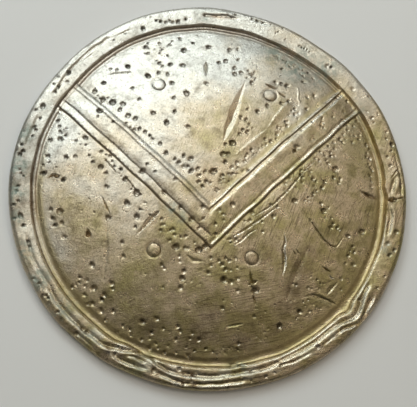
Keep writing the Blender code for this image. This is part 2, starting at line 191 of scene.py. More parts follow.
# Gashes, seen along their line from its first point to its last: points, widths to the left and right, depth
# (below 0 a ridge), where it is widest (0 start, 1 end; one number, or one for each side), how strong the
# raised lip is, and how the ends taper (1 long, 0 blunt)
gashes = {
    "long gouge": (
        [(13.0, 41.9), (11.1, 35.7), (9.4, 30.4), (7.2, 24.5), (5.4, 20.7), (3.9, 16.3)],
        (1.75, 2.4), 0.85, (0.8, 0.5), 0.2, 0.6),
    "crack by rivet": ([(20.6, 41.2), (22.5, 40.2), (24.9, 39.1)], (0.6, 0.6), 0.9, 0.6, 0.5, 0.25),
    "crack by rivet end": ([(25.6, 38.4), (26.4, 37.1), (28.3, 36.1)], (0.45, 0.45), 0.7, 0.5, 0.5, 0.3),
    "wavy ridge": (
        [(32.9, 41.3), (33.6, 39.2), (33.4, 35.6), (33.9, 34.4), (33.2, 31.3)],
        (0.55, 0.55), -0.25, 0.4, 0, 0.4),
    "ledge upper": ([(30.6, 35.4), (27.3, 31.6), (24.0, 27.1), (21.1, 22.8)], (3.0, 0.6), -0.42, 0.3, 0, 0.3),
    "ledge lower": ([(20.7, 21.9), (16.8, 18.2), (12.1, 14.1), (8.3, 10.9)], (2.8, 0.7), -0.4, 0.35, 0, 0.4),
    "straight scratch": ([(-40.3, -5.3), (-37.2, -11.9)], (0.4, 0.5), 0.5, 0.7, 0.4, 0.4),
    "soft trough": ([(-38.2, -16.5), (-37.9, -25.2), (-38.9, -39.5)], (1.0, 1.3), 0.2, 0.3, 0.1, 0.6),
    "left gouge": ([(-19.2, -11.3), (-23.1, -15.5), (-26.8, -19.5)], (0.55, 1.4), 0.65, 0.35, 0.5, 0.3),
    "chisel a": (
        [(39.5, 10.6), (35.9, 7.6), (32.2, 3.0), (29.0, -1.0), (26.6, -3.6), (23.1, -7.2), (19.3, -9.8),
         (14.5, -13.0)],
        (0.4, 0.55), 0.35, 0.6, 0.8, 0.35),
    "chisel b": (
        [(24.2, -8.3), (20.4, -11.1), (16.3, -14.3), (11.9, -17.4), (7.3, -20.3)],
        (0.5, 0.6), 0.45, 0.6, 1.0, 0.35),
    "chisel c": (
        [(16.7, -16.9), (13.7, -18.5), (10.7, -21.3), (7.6, -23.4)], (0.4, 0.6), 0.35, 0.6, 0.9, 0.4),
    "wavy line": (
        [(26.4, -17.9), (26.8, -21.6), (26.1, -24.2), (26.5, -27.1), (26.5, -30.0), (25.7, -33.7)],
        (0.8, 0.9), 0.5, 0.6, 0.8, 0.5),
    "dark smear": (
        [(37.0, -20.0), (33.5, -26.8), (30.8, -32.4), (28.6, -38.6), (26.0, -45.1)],
        (2.0, 2.0), 0.35, 0.45, 0.1, 0.8),
    "short scratch": ([(28.8, -23.5), (31.4, -26.5)], (0.3, 0.3), 0.3, 0.5, 0.3, 0.5),
    "short scratch beside": ([(30.3, -23.2), (32.4, -25.8)], (0.3, 0.3), 0.3, 0.5, 0.3, 0.5),
    "star gash a": ([(13.5, -31.6), (14.5, -36.5)], (0.5, 0.5), 0.7, 0.7, 0.4, 0.5),
    "star gash b": ([(13.0, -37.4), (16.6, -35.6)], (0.8, 0.9), 0.9, 0.5, 0.8, 0.5),
    "star gash c": ([(14.9, -40.8), (15.8, -43.9)], (0.45, 0.45), 0.6, 0.4, 0.3, 0.5),
    "thin arc": (
        [(33.4, -8.9), (36.7, -13.2), (39.0, -16.5), (41.6, -19.7), (44.3, -21.8), (46.3, -22.2),
         (47.9, -20.1), (49.9, -17.1)],
        (0.45, 0.45), 0.4, 0.5, 0.3, 0.4),
    "zigzag a": ([(40.3, -29.4), (42.3, -30.7), (44.2, -31.7)], (0.5, 0.5), 0.5, 0.5, 0.4, 0.5),
    "zigzag b": ([(43.0, -32.5), (45.7, -34.4)], (0.5, 0.5), -0.3, 0.5, 0, 0.5),
    "zigzag c": ([(46.9, -34.9), (44.5, -37.5), (42.2, -40.0)], (0.6, 1.3), 0.5, 0.6, 0.6, 0.6),
    "right gouge": (
        [(33.1, -41.1), (36.8, -40.2), (40.7, -41.1), (46.8, -43.7)], (0.9, 1.7), 0.55, 0.55, 0.7, 0.5),
    "top slit": ([(-1.7, 50.6), (-2.2, 46.5), (-2.0, 42.6)], (0.9, 0.9), 1, 0.5, 0.3, 0.7),
    "thin scratch": ([(-44.0, 43.2), (-37.0, 44.3), (-29.9, 44.6)], (0.45, 0.45), 0.4, 0.85, 0.6, 0.7),
    "ragged slash a": ([(-61.0, 1.5), (-59.0, 2.9), (-58.0, 3.4)], (0.6, 0.6), 0.7, 0.8, 0.8, 0.7),
    "ragged slash b": ([(-58.6, 3.4), (-57.0, 2.3), (-55.2, 2.9)], (0.85, 0.85), 0.9, 0.3, 0.8, 0.7),
    "punched hole": ([(-45.2, -17.0), (-44.5, -20.8)], (1.2, 1.2), 1.25, 0.8, 0.4, 0.7),
    "right slash": ([(56.2, 0.2), (60.0, -1.8), (64.5, -2.8)], (0.95, 0.95), 0.8, 0.4, 0.7, 0.7),
    "band cut a": ([(42.4, 27.8), (41.2, 22.6)], (0.45, 0.45), 0.5, 0.4, 0.6, 0.7),
    "band cut b": ([(32.0, 15.2), (30.4, 12.4)], (0.4, 0.4), 0.4, 0.5, 0.6, 0.7),
    "low stroke": ([(4.6, -52.5), (12.2, -51.0)], (0.5, 0.5), 0.4, 0.5, 0.6, 0.7),
    "soft arc": ([(-10.4, -26.4), (-7.0, -29.0), (-2.4, -29.4)], (1, 1), 0.35, 0.5, 0.1, 0.7),
    "rim notch": ([(66.4, -3.0), (69.0, -3.1), (71.4, -2.9)], (1.2, 1.2), 1.2, 0.55, 0.6, 0.7),
    "rim notch end": ([(70.5, -2.6), (74.6, -1.6)], (0.5, 0.5), 0.5, 0.4, 0.8, 0.7),
    "rim tear": ([(67.5, 4.2), (69.6, 6.4), (71.2, 8.4), (73.4, 10.4)], (0.4, 0.4), 0.4, 0.5, 1.2, 0.7),
    "left field scratch": ([(-33.2, 3.6), (-28.4, -2.8), (-24.6, -6.4)], (0.45, 0.45), 0.35, 0.4, 0.8, 0.7),
    "left field line": ([(-41.0, 10.4), (-35.8, 4.2), (-33.8, 1.2)], (0.4, 0.4), 0.3, 0.5, 0.8, 0.7),
}

# Gashes whose lit side gets a painted highlight, partly bare metal, and how strong
gashHighlights = {
    "long gouge": 0.5, "ledge upper": 0.5, "ledge lower": 0.4, "wavy ridge": 0.4, "left gouge": 0.8,
    "chisel a": 0.6, "chisel b": 0.8, "chisel c": 0.6, "wavy line": 0.8, "zigzag b": 0.7, "zigzag c": 0.4,
    "low stroke": 0.4,
}

# Creases along the rim: (angle, radius) points of the line, width, depth, and the lip on the outer side
rimCreases = {
    "lower left fold": ([(213, 70.2), (222, 70.5), (230, 70.4), (240, 70.2)], 2.0, 0.55, 0.9),
    "left soft fold": ([(196, 69.6), (203, 70.3), (208, 69.9), (215, 69.2)], 1.6, 0.3, 0.5),
    "lower left edge": ([(228, 73.2), (234, 73.3), (240, 73.9)], 1.4, 0.5, 0.5),
    "diagonal fold": ([(237, 69.8), (240, 69.2), (243, 68.1), (246, 66.9), (248.5, 66.3)], 1.8, 0.8, 1.2),
    "crossing fold": ([(250.5, 66.6), (252, 67.2), (254, 68.3), (257, 69.5), (262, 70.0)], 1.7, 0.6, 1.0),
    "loop": ([(239.8, 70.6), (241, 71.4), (243, 71.9), (247, 72.0), (251.5, 71.4)], 1.6, 0.6, 1.0),
    "loop middle": ([(244, 69.4), (247, 69.0), (250.5, 69.2)], 1.2, 0.4, 0.9),
    "bottom fold": (
        [(260.5, 69.4), (266, 69.7), (271, 69.7), (276, 69.2), (280, 69.0), (285, 69.3), (291, 68.8)],
        2.1, 0.75, 1.1),
    "bottom edge left": ([(254.5, 71.4), (258, 72.1), (262, 72.8), (265, 73.0)], 1.8, 0.6, 1.0),
    "bottom edge right": ([(265, 72.9), (270, 72.6), (275, 72.3), (280, 72.1)], 1.8, 0.55, 1.0),
    "overlap": ([(275, 65.5), (278, 66.2), (281.5, 67.5)], 0.9, 0.4, 0.3),
    "lower right fold": (
        [(291, 68.4), (296, 68.1), (301, 68.3), (305, 68.2), (308, 67.9), (311, 68.1), (313.5, 68.8),
         (315.5, 70.0), (317, 70.9), (318.5, 71.1), (320.5, 70.4), (323, 69.1), (325.5, 68.4), (329, 68.1)],
        1.9, 0.8, 1.2),
    "lower right edge": (
        [(310, 70.8), (312.5, 71.2), (314.5, 72.2), (316.5, 73.4), (318.5, 73.9), (320.5, 73.2), (323, 72.4),
         (326.5, 71.8)], 1.6, 0.6, 1.1),
    "lower right thin": ([(289.5, 70.3), (294, 70.6), (301, 70.9)], 1.0, 0.3, 0.8),
    "lower right thin end": ([(304.5, 70.9), (309, 71.0)], 1.0, 0.3, 0.8),
    "right hump": ([(345, 68.2), (349, 68.6), (353, 68.3), (356, 67.7)], 1.8, 0.45, 1.0),
    "right flake": ([(359.2, 68.2), (362, 69.4), (365, 70.6)], 2.0, 0.55, 1.1),
    "right edge line": ([(358.5, 72.7), (364, 73.0), (372.5, 72.7)], 1.1, 0.35, 0.3),
    "top right streak": ([(71, 71.3), (77, 71.7)], 0.9, 0.35, 0.3),
    "top crack": ([(81.3, 70.2), (85, 70.7), (88.5, 70.4), (93, 70.8)], 1.3, 0.5, 0.7),
    "top thin": ([(115, 69.9), (118, 70.5), (122, 70.2)], 0.7, 0.25, 0.2),
    "upper left fold": (
        [(123, 70.3), (124.5, 71.4), (128, 71.1), (132, 71.1), (136, 70.6), (141, 70.3), (145, 69.6),
         (150, 69.3)],
        1.1, 0.45, 0.5),
    "upper left edge": ([(130.5, 72.7), (138, 72.2)], 0.8, 0.3, 0.3),
    "upper left thin": ([(130, 69.6), (136, 69.2)], 0.6, 0.2, 0.2),
    "left soft line": ([(157, 69.8), (163, 70.1), (169, 70.4)], 1.6, 0.25, 0.4),
}
# Where the rim's inner edge is pushed in: (angle, length along the rim, how far)
rimDents = [
    (318, 2.4, -1.3), (243, 3.0, 0.7), (250, 2.5, -0.4), (358, 2.0, -0.5), (2, 2.0, 0.5), (280, 2.5, 0.4),
    (57, 20, 0.6),
]
# The plate is not quite round: (angle, how far its rim lies outside the true circle)
outlineShift = [
    (0, 0), (30, -0.2), (42, -0.7), (52, -1.25), (68, -1.35), (80, -0.9), (92, -0.25), (110, -0.1),
    (124, -0.25), (134, -0.8), (143, -1.2), (151, -0.8), (160, -0.5), (175, -0.3), (200, -0.1), (225, 0),
    (290, 0), (330, 0),
]

# Lone casting pits: (x, y, diameter)
lonePits = {
    "upper left field": [
        (-32, 47.2, 2.3), (-24.2, 43, 2.3), (-41, 40.2, 2), (-33.4, 31, 2.3), (-37.3, 31.8, 3),
        (-44.3, 36.6, 2.3), (-41, 33, 2.3), (-34.5, 28.6, 1.9), (-31.4, 26, 2.3), (-28.7, 24.8, 1.9),
        (-22, 27.2, 1.9), (-17, 23.2, 2.3), (-14, 27.8, 1.8), (-9, 21.6, 1.9), (-9.6, 35.6, 2.7),
        (-15, 40, 1.9), (-14.4, 33.6, 1.6), (-27.3, 33, 1.5), (-30, 37.6, 1.6), (-36.2, 45.8, 1.5),
        (-38.8, 46.4, 1.5), (-20.2, 44.4, 1.7), (-16.8, 43.8, 1.7), (-15.8, 48, 1.9), (-11, 47.8, 2.1),
        (-20, 48.6, 1.7), (-10.6, 54.8, 2.3), (-1, 56.6, 2.1), (-2, 40, 1.9), (-25.4, 56.2, 1.9),
        (-24.4, 53.2, 1.6), (-20, 57.8, 1.5), (-16, 57.2, 1.5), (-12, 60.2, 1.5), (-7, 58.2, 1.6),
    ],
    "upper right field": [
        (7.2, 55.6, 1.9), (10.6, 56.2, 1.5), (5.6, 50.4, 2.3), (3, 49.6, 1.7), (10.6, 51.2, 1.5),
        (9, 47.4, 1.9), (27.6, 48.4, 1.7), (40, 37.6, 1.9),
    ],
    "above the right arm": [
        (10.9, 26.3, 1.7), (12.9, 25.4, 1.8), (14, 23.6, 1.3), (15.2, 22, 1.1), (13.4, 22.3, 0.9),
        (11.5, 21.2, 1.7), (10.3, 19.5, 1.7), (13.2, 20.4, 1.9), (7.6, 15.7, 2.9), (5, 15, 1.5),
        (4, 11.1, 2.4), (5.7, 11.2, 2.1), (14.6, 13.2, 1.6), (13, 11.3, 1.5), (13.6, 29.8, 1.3),
        (17.3, 29, 2), (21.2, 31.8, 2), (29.6, 34.2, 1.9), (26.6, 33.3, 1.7), (29.3, 41, 2.1),
        (26.9, 41.7, 1.8), (24.6, 42.3, 1.4), (15.8, 44.6, 1.7), (16.7, 46, 1.3), (14.3, 46.5, 1.2),
        (11.4, 45.4, 2), (9, 44.8, 1.9), (15.5, 41.2, 2), (35.8, 43.4, 1.5), (25, 23, 1.5), (28, 25.3, 1.6),
        (28.4, 23.9, 1.4), (24.7, 20.5, 1.6), (22.1, 17.1, 1.6), (19.8, 17.9, 1.4), (20.2, 15.7, 1.1),
        (30.6, 30.4, 1.2), (31.8, 31.2, 1.4), (29.5, 28.4, 1.2), (31.7, 28.8, 1.4), (33.1, 29.6, 1.2),
        (15.5, 11.5, 1.1), (27.9, 36.2, 1),
    ],
    "band": [
        (-42, 28, 2.3), (-42.6, 25.6, 1.3), (-36.8, 23.4, 1.5), (-24, 6.4, 1.6), (-25.6, 3.8, 2.3),
        (-21, 3.4, 1.6), (-13.6, 0.6, 1.6), (-17.6, -4.2, 1.9), (-11.6, -9.8, 1.9), (-7.6, -14.2, 2.3),
        (-3.6, -9.4, 1.9), (-3.4, -14, 1.6), (-5, -17.4, 1.6), (1, -15.8, 1.6), (2.4, -10.6, 1.9),
        (1.2, -19.4, 1.6), (15.4, 3.4, 1.2),
    ],
    "right arm": [
        (36.6, 31.6, 1.6), (32.8, 27.2, 1.1), (42.4, 27.9, 1.4), (42.5, 26.2, 1.6), (41.6, 24.8, 1.3),
        (42.8, 24.1, 1.3), (31.9, 15.3, 2.3), (30.9, 13.6, 1.7), (37.6, 18.4, 1.3), (39.2, 19, 1.1),
        (33.8, 22.5, 1.3), (53.4, 36.9, 1.2), (51.6, 31.7, 1.4), (46.7, 29, 1.2), (38.5, 26.2, 1.1),
        (7.3, -8.3, 2.3), (3.8, -12.1, 1.4), (4.1, -14.3, 1.2), (8, -16.4, 1.2), (5.2, -19.1, 1.4),
        (49.4, 37.8, 1.1),
    ],
    "inside the V": [
        (-17, 11, 2), (-13.8, 8.6, 1.6), (-12.4, 7.4, 1.7), (-10.6, 10, 1.6), (-8, 8.8, 2.2),
        (-10.6, 5.8, 1.8), (-9, 5.8, 1.7), (-7.8, 4.2, 2.1), (-5.4, 5, 1.8), (-5, 2.4, 1.8), (-2.8, 4, 1.6),
        (-5, 0, 1.9), (-2.2, 0.2, 1.9), (-0.9, -0.4, 1.7), (-3.6, -1.7, 1.6), (0.4, 4.2, 2.8),
        (1.4, -2.6, 1.6), (3.6, 2.6, 2), (2.8, 0.6, 1.6), (7.6, 3.6, 1.6), (7, 6, 1.6), (9.2, 7.8, 2),
        (4.8, 8, 1.9), (12, 8.6, 1.6),
    ],
    "left field": [
        (-58, 25, 1.5), (-57.4, 22.6, 1.5), (-56.8, 20.2, 1.6), (-60.4, 17, 1.9), (-56.6, 17.2, 2.2),
        (-47, 17.4, 2.2), (-60.8, 10.6, 1.6), (-54, 9.8, 1.9), (-50.6, 10, 1.6), (-44, 7.6, 1.6),
        (-41, 11.6, 1.5), (-37.6, 9.8, 1.6), (-41, 5.6, 2.3), (-39, 3.2, 1.6), (-38.6, -2, 1.7),
        (-62, 4, 2), (-54.6, 1, 1.9), (-33.4, 4.6, 1.5), (-31.8, 0.8, 2.3), (-27.6, -4.4, 2.9),
        (-31, -8.2, 2.5), (-55.4, -10.8, 2.8), (-58.8, -10, 1.6), (-58, -13.4, 1.9), (-54.6, -15.2, 1.8),
        (-57, -16, 1.9), (-53.4, -20.4, 1.8), (-32.4, -22.6, 1.6), (-27.4, -13.2, 2.4), (-27.8, -17, 1.6),
        (-37.7, -13.5, 2.3),
    ],
    "lower field": [
        (-43.1, -30.6, 2.3), (-47.3, -35.1, 1.4), (-44.8, -36.1, 1.5), (-47.6, -36.9, 1.4),
        (-48.6, -37.8, 1.2), (-49.9, -38.3, 1.5), (-45.4, -38.2, 1.5), (-42.2, -38.9, 2.4),
        (-35.8, -37.4, 2.1), (-35.4, -39.2, 1.8), (-45.5, -41.2, 1.6), (-38.4, -41.3, 2.2), (-39.2, -43, 2),
        (-42.5, -44.4, 1.8), (-44.1, -44.5, 1.3), (-39.4, -46.9, 2), (-35, -47.1, 1.9), (-37.6, -50.4, 1.1),
        (-32, -27.6, 1.6), (-24.6, -50.8, 2.4), (-19.5, -49.7, 2.1), (-31.5, -52.3, 1.4),
        (-29.1, -53.5, 1.6), (-28.8, -54.9, 1.3), (-33.2, -54.5, 0.9), (-21.3, -54.6, 1.7),
        (-17.1, -53.2, 1.4), (-12.1, -52.4, 1.8), (-11.2, -54, 1.8), (-12.7, -56.9, 1.7), (-24.8, -57, 1.5),
        (-21.8, -56.6, 1.3), (-6.9, -54.7, 1.7), (-7.6, -56.6, 1.2), (-4.6, -56.9, 2), (-19.6, -58.5, 1.1),
        (-15.5, -59.2, 1.3), (-16.4, -61.4, 1.7), (-8.9, -59.7, 1.1), (-6.1, -60.9, 1.3), (-2, -60.1, 1.6),
        (0.4, -61.1, 1.3), (4.1, -59.5, 1), (3.2, -61.4, 0.9), (5, -61.4, 0.9), (1.8, -62, 0.9),
        (-12.1, -61.6, 1), (-8, -62.8, 1.4), (-18.9, -59.9, 1), (3.7, -45.8, 1.8), (-18.1, -30.7, 1.8),
        (-17.3, -31.9, 1.7), (-11.9, -27.6, 1.6), (-11.7, -29.4, 1.6), (-10.2, -32.9, 2.1),
        (-10.7, -35.4, 2.5), (-11.3, -38.8, 2.1), (-17.6, -38.7, 1.3), (-0.5, -28, 1.5), (-0.5, -30.7, 1.7),
        (-1.4, -33.3, 1.7), (2.4, -29, 1.6), (3.5, -30.4, 2), (4.8, -32, 1.9), (6, -28.9, 1.9),
        (6.6, -32.3, 1.4), (8.4, -27.9, 1.6), (4.3, -35.7, 2.8), (9.3, -35.1, 1.7), (9.2, -39.5, 1.6),
        (9, -31.3, 1.3), (-8.9, -24.7, 1.7), (-4.9, -25.2, 3), (-2.6, -24, 2.4), (-13.2, -24.2, 2.7),
        (9.7, -58.1, 1.9), (-14.8, -54.5, 0.9), (-4.1, -54.1, 0.8),
    ],
    "lower right field": [
        (6.8, -36.4, 2.2), (4.9, -28, 1.5), (15.8, -39.2, 3), (14.5, -38.3, 1.6), (16, -45.7, 1.1),
        (15.6, -44, 0.9), (35.3, -37.6, 1.3), (36.5, -37.9, 1), (36.9, -35, 1.2), (36.1, -33.6, 1.2),
        (38.8, -34.5, 1.3), (39.9, -35.9, 1.1), (41.3, -35.9, 1.2), (39.5, -37.8, 1.2), (38.4, -37.4, 0.9),
        (48, -33.7, 1.8), (48, -37.7, 1.4), (32, -46.3, 2.2), (34.2, -44.1, 1.2), (35.7, -46.1, 1.3),
        (37.2, -43.6, 1.1), (38.4, -44.6, 1.2), (39.9, -44.9, 1.3), (35.3, -41.9, 1.3), (33.4, -42.7, 1),
        (34.6, -47.6, 1), (30.9, -48.8, 1), (29.7, -47.4, 1), (40.8, -6.1, 1.7), (41.7, -8.9, 2.6),
        (43.5, -7.5, 1.3), (40.7, -8.1, 1), (44.5, -11.4, 1.2), (42.2, -11.4, 1.1), (45.3, -13.5, 1.6),
        (44.3, -15, 1.8), (46.8, -14.9, 1.7), (47.6, -15.7, 1.3), (30.6, -5.8, 2.4), (34.6, -5.2, 1.2),
        (35.8, -5.5, 1.3), (37.3, -4.1, 0.9), (30.8, -36.7, 1.6), (29.7, -36.4, 1), (15.3, -48.5, 1.6),
        (49.7, -28.1, 1.2), (50.9, -25.1, 1.6), (51, -17.8, 1.9), (56.6, -15.8, 2.7), (53, -28.2, 2),
        (24.6, -51.6, 2.4),
    ],
    "by the chisel marks": [
        (6.3, -21.1, 1.7), (8.5, -21.2, 1.9), (13.7, -14, 1.8), (14.7, -11, 2), (11.9, -14.3, 1.4),
        (23.9, -8.3, 1.7), (22.5, -12, 2.1), (21.4, -7.7, 1.6), (18.2, -14.2, 1.3), (18.3, -17.9, 1.4),
        (6.7, -22.3, 1.2), (33.4, 6.2, 1.6), (32.9, 4.4, 1.4), (29, 2.8, 1.6), (27.1, 0.7, 1.5),
        (27, -1.8, 1.6), (30.9, 2.1, 1.1),
    ],
    "right field": [
        (55.2, 26.3, 1.5), (52.6, 24.3, 1.4), (54.4, 24.5, 1), (50.8, 22.4, 1.5), (53.7, 22.3, 1),
        (51.5, 20.4, 1), (49.2, 20.1, 1.7), (50.2, 19, 1.3), (46.7, 18.6, 1.6), (54.3, 19.4, 1.5),
        (57.4, 22.7, 1.4), (57.1, 21, 1.3), (46.8, 16, 1.4), (44.4, 16.8, 1.3), (45.1, 14.2, 1.4),
        (45.2, 12.8, 1.5), (46.7, 13.1, 1.4), (43, 12.8, 1.4), (44.1, 9.8, 1.7), (57, 28.9, 1.5),
        (60.1, 19.2, 1.5), (61.2, 17.3, 1.3), (60, 15.5, 1.1), (59.7, 13.8, 1.4), (61.2, 13.6, 1.7),
        (60.4, 11, 1.1), (61.1, 9.7, 1.4), (61.9, 8.9, 1.2), (60.9, 6.4, 1.5), (61.2, 4.2, 1.1),
        (61.1, 2, 1.6), (46.8, 7.7, 2.8), (46.1, 4.4, 1.8), (48.6, 4, 1.6), (48, 2.4, 1.7),
        (42.4, 2.5, 1.8), (41.4, 0.1, 1.9), (37.9, 3.2, 1.8), (39.1, 2.3, 1.4), (38.4, 0.3, 1.2),
        (36.9, 6.1, 1.6), (36.4, 4.4, 1.1), (41.1, 14.2, 1.3), (42.5, 13.7, 1.1), (39, 11.4, 1.2),
        (43.4, 11, 1.3), (40.6, 10.7, 1.2), (53.6, 27.8, 1), (56.3, 30.3, 0.9), (59.1, 22.5, 0.9),
        (58.4, 24.9, 0.9), (52.7, 26.4, 0.9), (37.8, -2.5, 1.5), (39, -1.4, 1.2), (35.8, -4.2, 1.3),
        (33.7, 3.5, 1.3), (33.6, 1.5, 1.3), (31.3, -0.6, 1.2),
    ],
}

# Pits of the rim and of the field beside it: (angle, radius, diameter)
rimPits = [
    (46.8, 69.1, 1.7), (48.1, 68.3, 1.9), (55.5, 68.5, 1.1), (56.6, 68.7, 1.1), (57.6, 68.6, 1.2),
    (58.5, 68.4, 1.2), (59.4, 68.4, 1.1), (64.5, 68, 0.9), (66.7, 72, 1.1), (67.7, 69.8, 1.1),
    (68.2, 69.1, 1.0), (70.7, 71.7, 1.0), (73.2, 71.3, 1.1), (75.2, 71.6, 1.4), (76.8, 71.8, 1.3),
    (82.2, 72, 1.3), (84.7, 71.2, 1.2), (92, 70.4, 1.5), (98.2, 69, 1.5), (100.9, 68.4, 2.1),
    (102.6, 68.5, 1.6), (103.5, 69.3, 1.4), (104.8, 68.8, 1.7), (106.4, 69.7, 1.8), (107.6, 70.5, 1.4),
    (109, 72.8, 1.0), (110.2, 73.3, 1.0), (112.6, 68.9, 2.0), (118.6, 69.6, 1.2), (122.8, 69.4, 1.0),
    (141, 70, 2.3), (144, 72.3, 1.3), (146.7, 71.6, 1.2), (146.6, 69.4, 1.6), (148.6, 69.1, 1.4),
    (143.6, 67.9, 1.3), (154.6, 70.4, 2.5), (156.6, 72.2, 1.4), (158.6, 69, 1.3), (161.8, 69.7, 1.6),
    (162.7, 68.7, 1.6), (164.9, 69.2, 1.5), (164, 73, 1.0), (168.3, 72.2, 1.5), (170.2, 71.1, 1.9),
    (171.4, 72, 1.9), (176, 71, 1.2), (177.2, 70.4, 1.2), (178, 69.4, 1.1), (181.2, 71.1, 1.4),
    (182.6, 71.6, 1.2), (185.8, 71.2, 1.4), (186.7, 73, 1.6), (190.8, 73.1, 1.4), (190.3, 70.9, 2.2),
    (193.4, 70.4, 1.7), (198.6, 70, 1.9), (200.1, 70, 1.5), (209.3, 73.4, 1.5), (212, 73.7, 1.6),
    (211.3, 72.4, 1.5), (214.7, 73.5, 1.7), (215.4, 72.5, 1.5), (216.3, 72.3, 1.6), (217.6, 73.4, 1.7),
    (221.2, 72.4, 1.6), (223.4, 73.4, 1.7), (229.3, 73.4, 2.4), (229.5, 70.5, 1.9), (231, 70.5, 1.9),
    (241.3, 70.9, 2.0), (247.6, 73.6, 1.6), (253.4, 71.2, 2.4), (260.4, 68.4, 2.2), (264.4, 71.8, 1.9),
    (265, 69.3, 2.3), (262.2, 69.5, 1.3), (262.3, 73.2, 1.5), (273.2, 69.2, 1.3), (274, 70.3, 1.2),
    (278.6, 70.7, 1.1), (281.3, 73, 1.3), (281.8, 69.4, 1.6), (285.6, 72.6, 1.5), (288.3, 72, 1.2),
    (290.8, 70.3, 1.4), (303.1, 70.3, 2.0), (308.8, 70.9, 1.3), (312, 70.6, 1.5), (321.2, 74.2, 1.8),
    (322.8, 68.4, 1.7), (329, 71.8, 1.3), (333.2, 72.3, 1.1), (339.9, 71.2, 1.9), (341.9, 72.4, 1.8),
    (343.1, 69.1, 2.0), (342, 72.4, 1.7), (347.5, 71.6, 2.1), (8.8, 69.6, 1.6), (11.8, 69.4, 1.6),
    (15.3, 72.7, 2.5), (13.4, 71.6, 1.2), (17.5, 71, 1.3), (19.6, 72.2, 1.3), (25.5, 69.3, 1.7),
    (23.8, 69.1, 1.2), (26, 72.2, 1.3), (31.8, 73, 1.5), (36.8, 69.2, 2.0), (28, 68.9, 1.2),
    (357.7, 62.6, 1.5), (8, 62.3, 1.4), (12.2, 62.3, 1.6), (15.6, 63.2, 1.3), (17.2, 62.8, 1.5),
    (26.8, 63.2, 1.3), (34.4, 64.2, 1.3), (37.8, 63.1, 1.3), (156.8, 63, 1.7), (164.4, 62.8, 1.8),
    (170.3, 62, 1.7), (173.5, 62.8, 1.2), (176.6, 62.8, 2.1), (217.7, 63.1, 1.6), (225.2, 62.9, 1.5),
    (233, 62.9, 1.5), (238.6, 63.6, 1.4), (242.6, 62.5, 1.3), (246.5, 62.6, 1.3), (250, 63.6, 2.1),
    (254.8, 63.5, 1.7), (252.5, 62.9, 1.2), (258.5, 62.7, 1.3), (262.4, 63, 1.5),
]

# Shallow clean bowls on the upper right: (x, y, diameter)
shallowBowls = [
    (25, 41.9, 1.8), (28.9, 40.9, 2.0), (36.3, 43.4, 1.6), (27.3, 32.9, 1.9), (37.1, 36.9, 1.7),
    (28.8, 25.6, 1.6), (28.7, 23.9, 1.7), (36.4, 31.6, 1.6), (31.7, 28.6, 1.5), (33.1, 29.6, 1.4),
    (24.5, 20.1, 1.7), (26.2, 22.7, 1.3), (22.1, 17.1, 1.7), (20.2, 15.7, 1.4),
]

# Rows and swarms of small pits: first place, last place, how many, how far they stray, diameter
pitRows = {
    "chain down the V": [(-27, 21.6), (-19.6, 14.6), 5, 0.5, 1.8],
    "by the upper left band": [(-46, 38), (-38, 30), 9, 1.8, 1.1],
    "upper left top": [(-24, 55), (-16, 53), 8, 2.0, 1.1],
    "above upper left rivet": [(-22, 50), (-15, 46), 4, 1.5, 1.2],
    "left of the V's foot": [(-33, 24), (-29, 20), 3, 1.0, 1.4],
    "green chain": [(24, 56), (41, 46.5), 9, 0.7, 1.3],
    "second green chain": [(26, 53.5), (38, 47), 6, 1.0, 1.0],
    "right top swarm": [(14, 47), (18, 42.5), 6, 1.2, 1.1],
    "along the right band low": [(3, 1.5), (27, 21), 14, 1.0, 1.2],
    "olive strip": [(1, -3.5), (12, 7), 12, 1.2, 1.1],
    "left field dust": [(-61, 8.5), (-57, 7), 6, 0.9, 0.8],
    "left field tiny": [(-55, 22.5), (-46.5, 12.5), 10, 2.4, 0.8],
    "left field middle": [(-53, 18), (-42, 8), 6, 1.6, 1.2],
    "along the left band": [(-41, 12), (-24.5, -8.4), 15, 0.8, 1.0],
    "below the left band": [(-27, -9.6), (-4.6, -24), 14, 0.9, 1.4],
    "below the left band outer": [(-19, -16), (-8, -26), 8, 1.4, 1.4],
    "right field pits": [(50, -22), (56, -24), 4, 1.2, 1.6],
    "right arm beads": [(29, 0), (41, 12), 11, 0.5, 1.0],
    "right arm grit": [(27, 2.4), (46, 21), 18, 0.7, 0.8],
    "corner grit": [(47, 28), (55, 21), 10, 1.4, 0.8],
    "lower right dust": [(29, -42), (37, -50), 12, 2.0, 0.8],
    "bottom swarm": [(22, -53), (14, -57), 9, 1.6, 0.9],
    "bottom middle": [(3, -60.5), (10, -59), 6, 0.9, 0.9],
    "upper field dust": [(-40, 51), (-4, 61), 10, 1.4, 0.9],
    "mid left field dust": [(-50, -6), (-36, -30), 8, 4.0, 0.9],
    "lower field dust": [(-28, -34), (24, -46), 12, 5.0, 0.9],
}
# Where green-grey patina is left: x, y, size, strength
patinaPlaces = [
    (46, 50, 7, 0.8), (38, 56, 6, 0.6), (-72, 6, 6, 0.9), (-71, 20, 6, 0.8), (-72, -4, 5, 0.9),
    (26, 56, 8, 0.8), (33, 50, 9, 0.9), (42, 45, 6, 0.6), (-14.5, -10.5, 3.5, 0.9), (-11, -13.5, 3, 0.7),
    (-71, -14, 5, 0.7), (-68, -26, 6, 0.8), (-62, -36, 7, 0.8), (-54, -46, 7, 0.7), (-44, -56, 6, 0.5),
    (-62, 30, 4, 0.4), (-3, 70, 4, 0.5), (58, 33, 5, 0.4), (66, -22, 4, 0.5), (10, -66, 5, 0.5),
    (-24, -66, 6, 0.5),
]
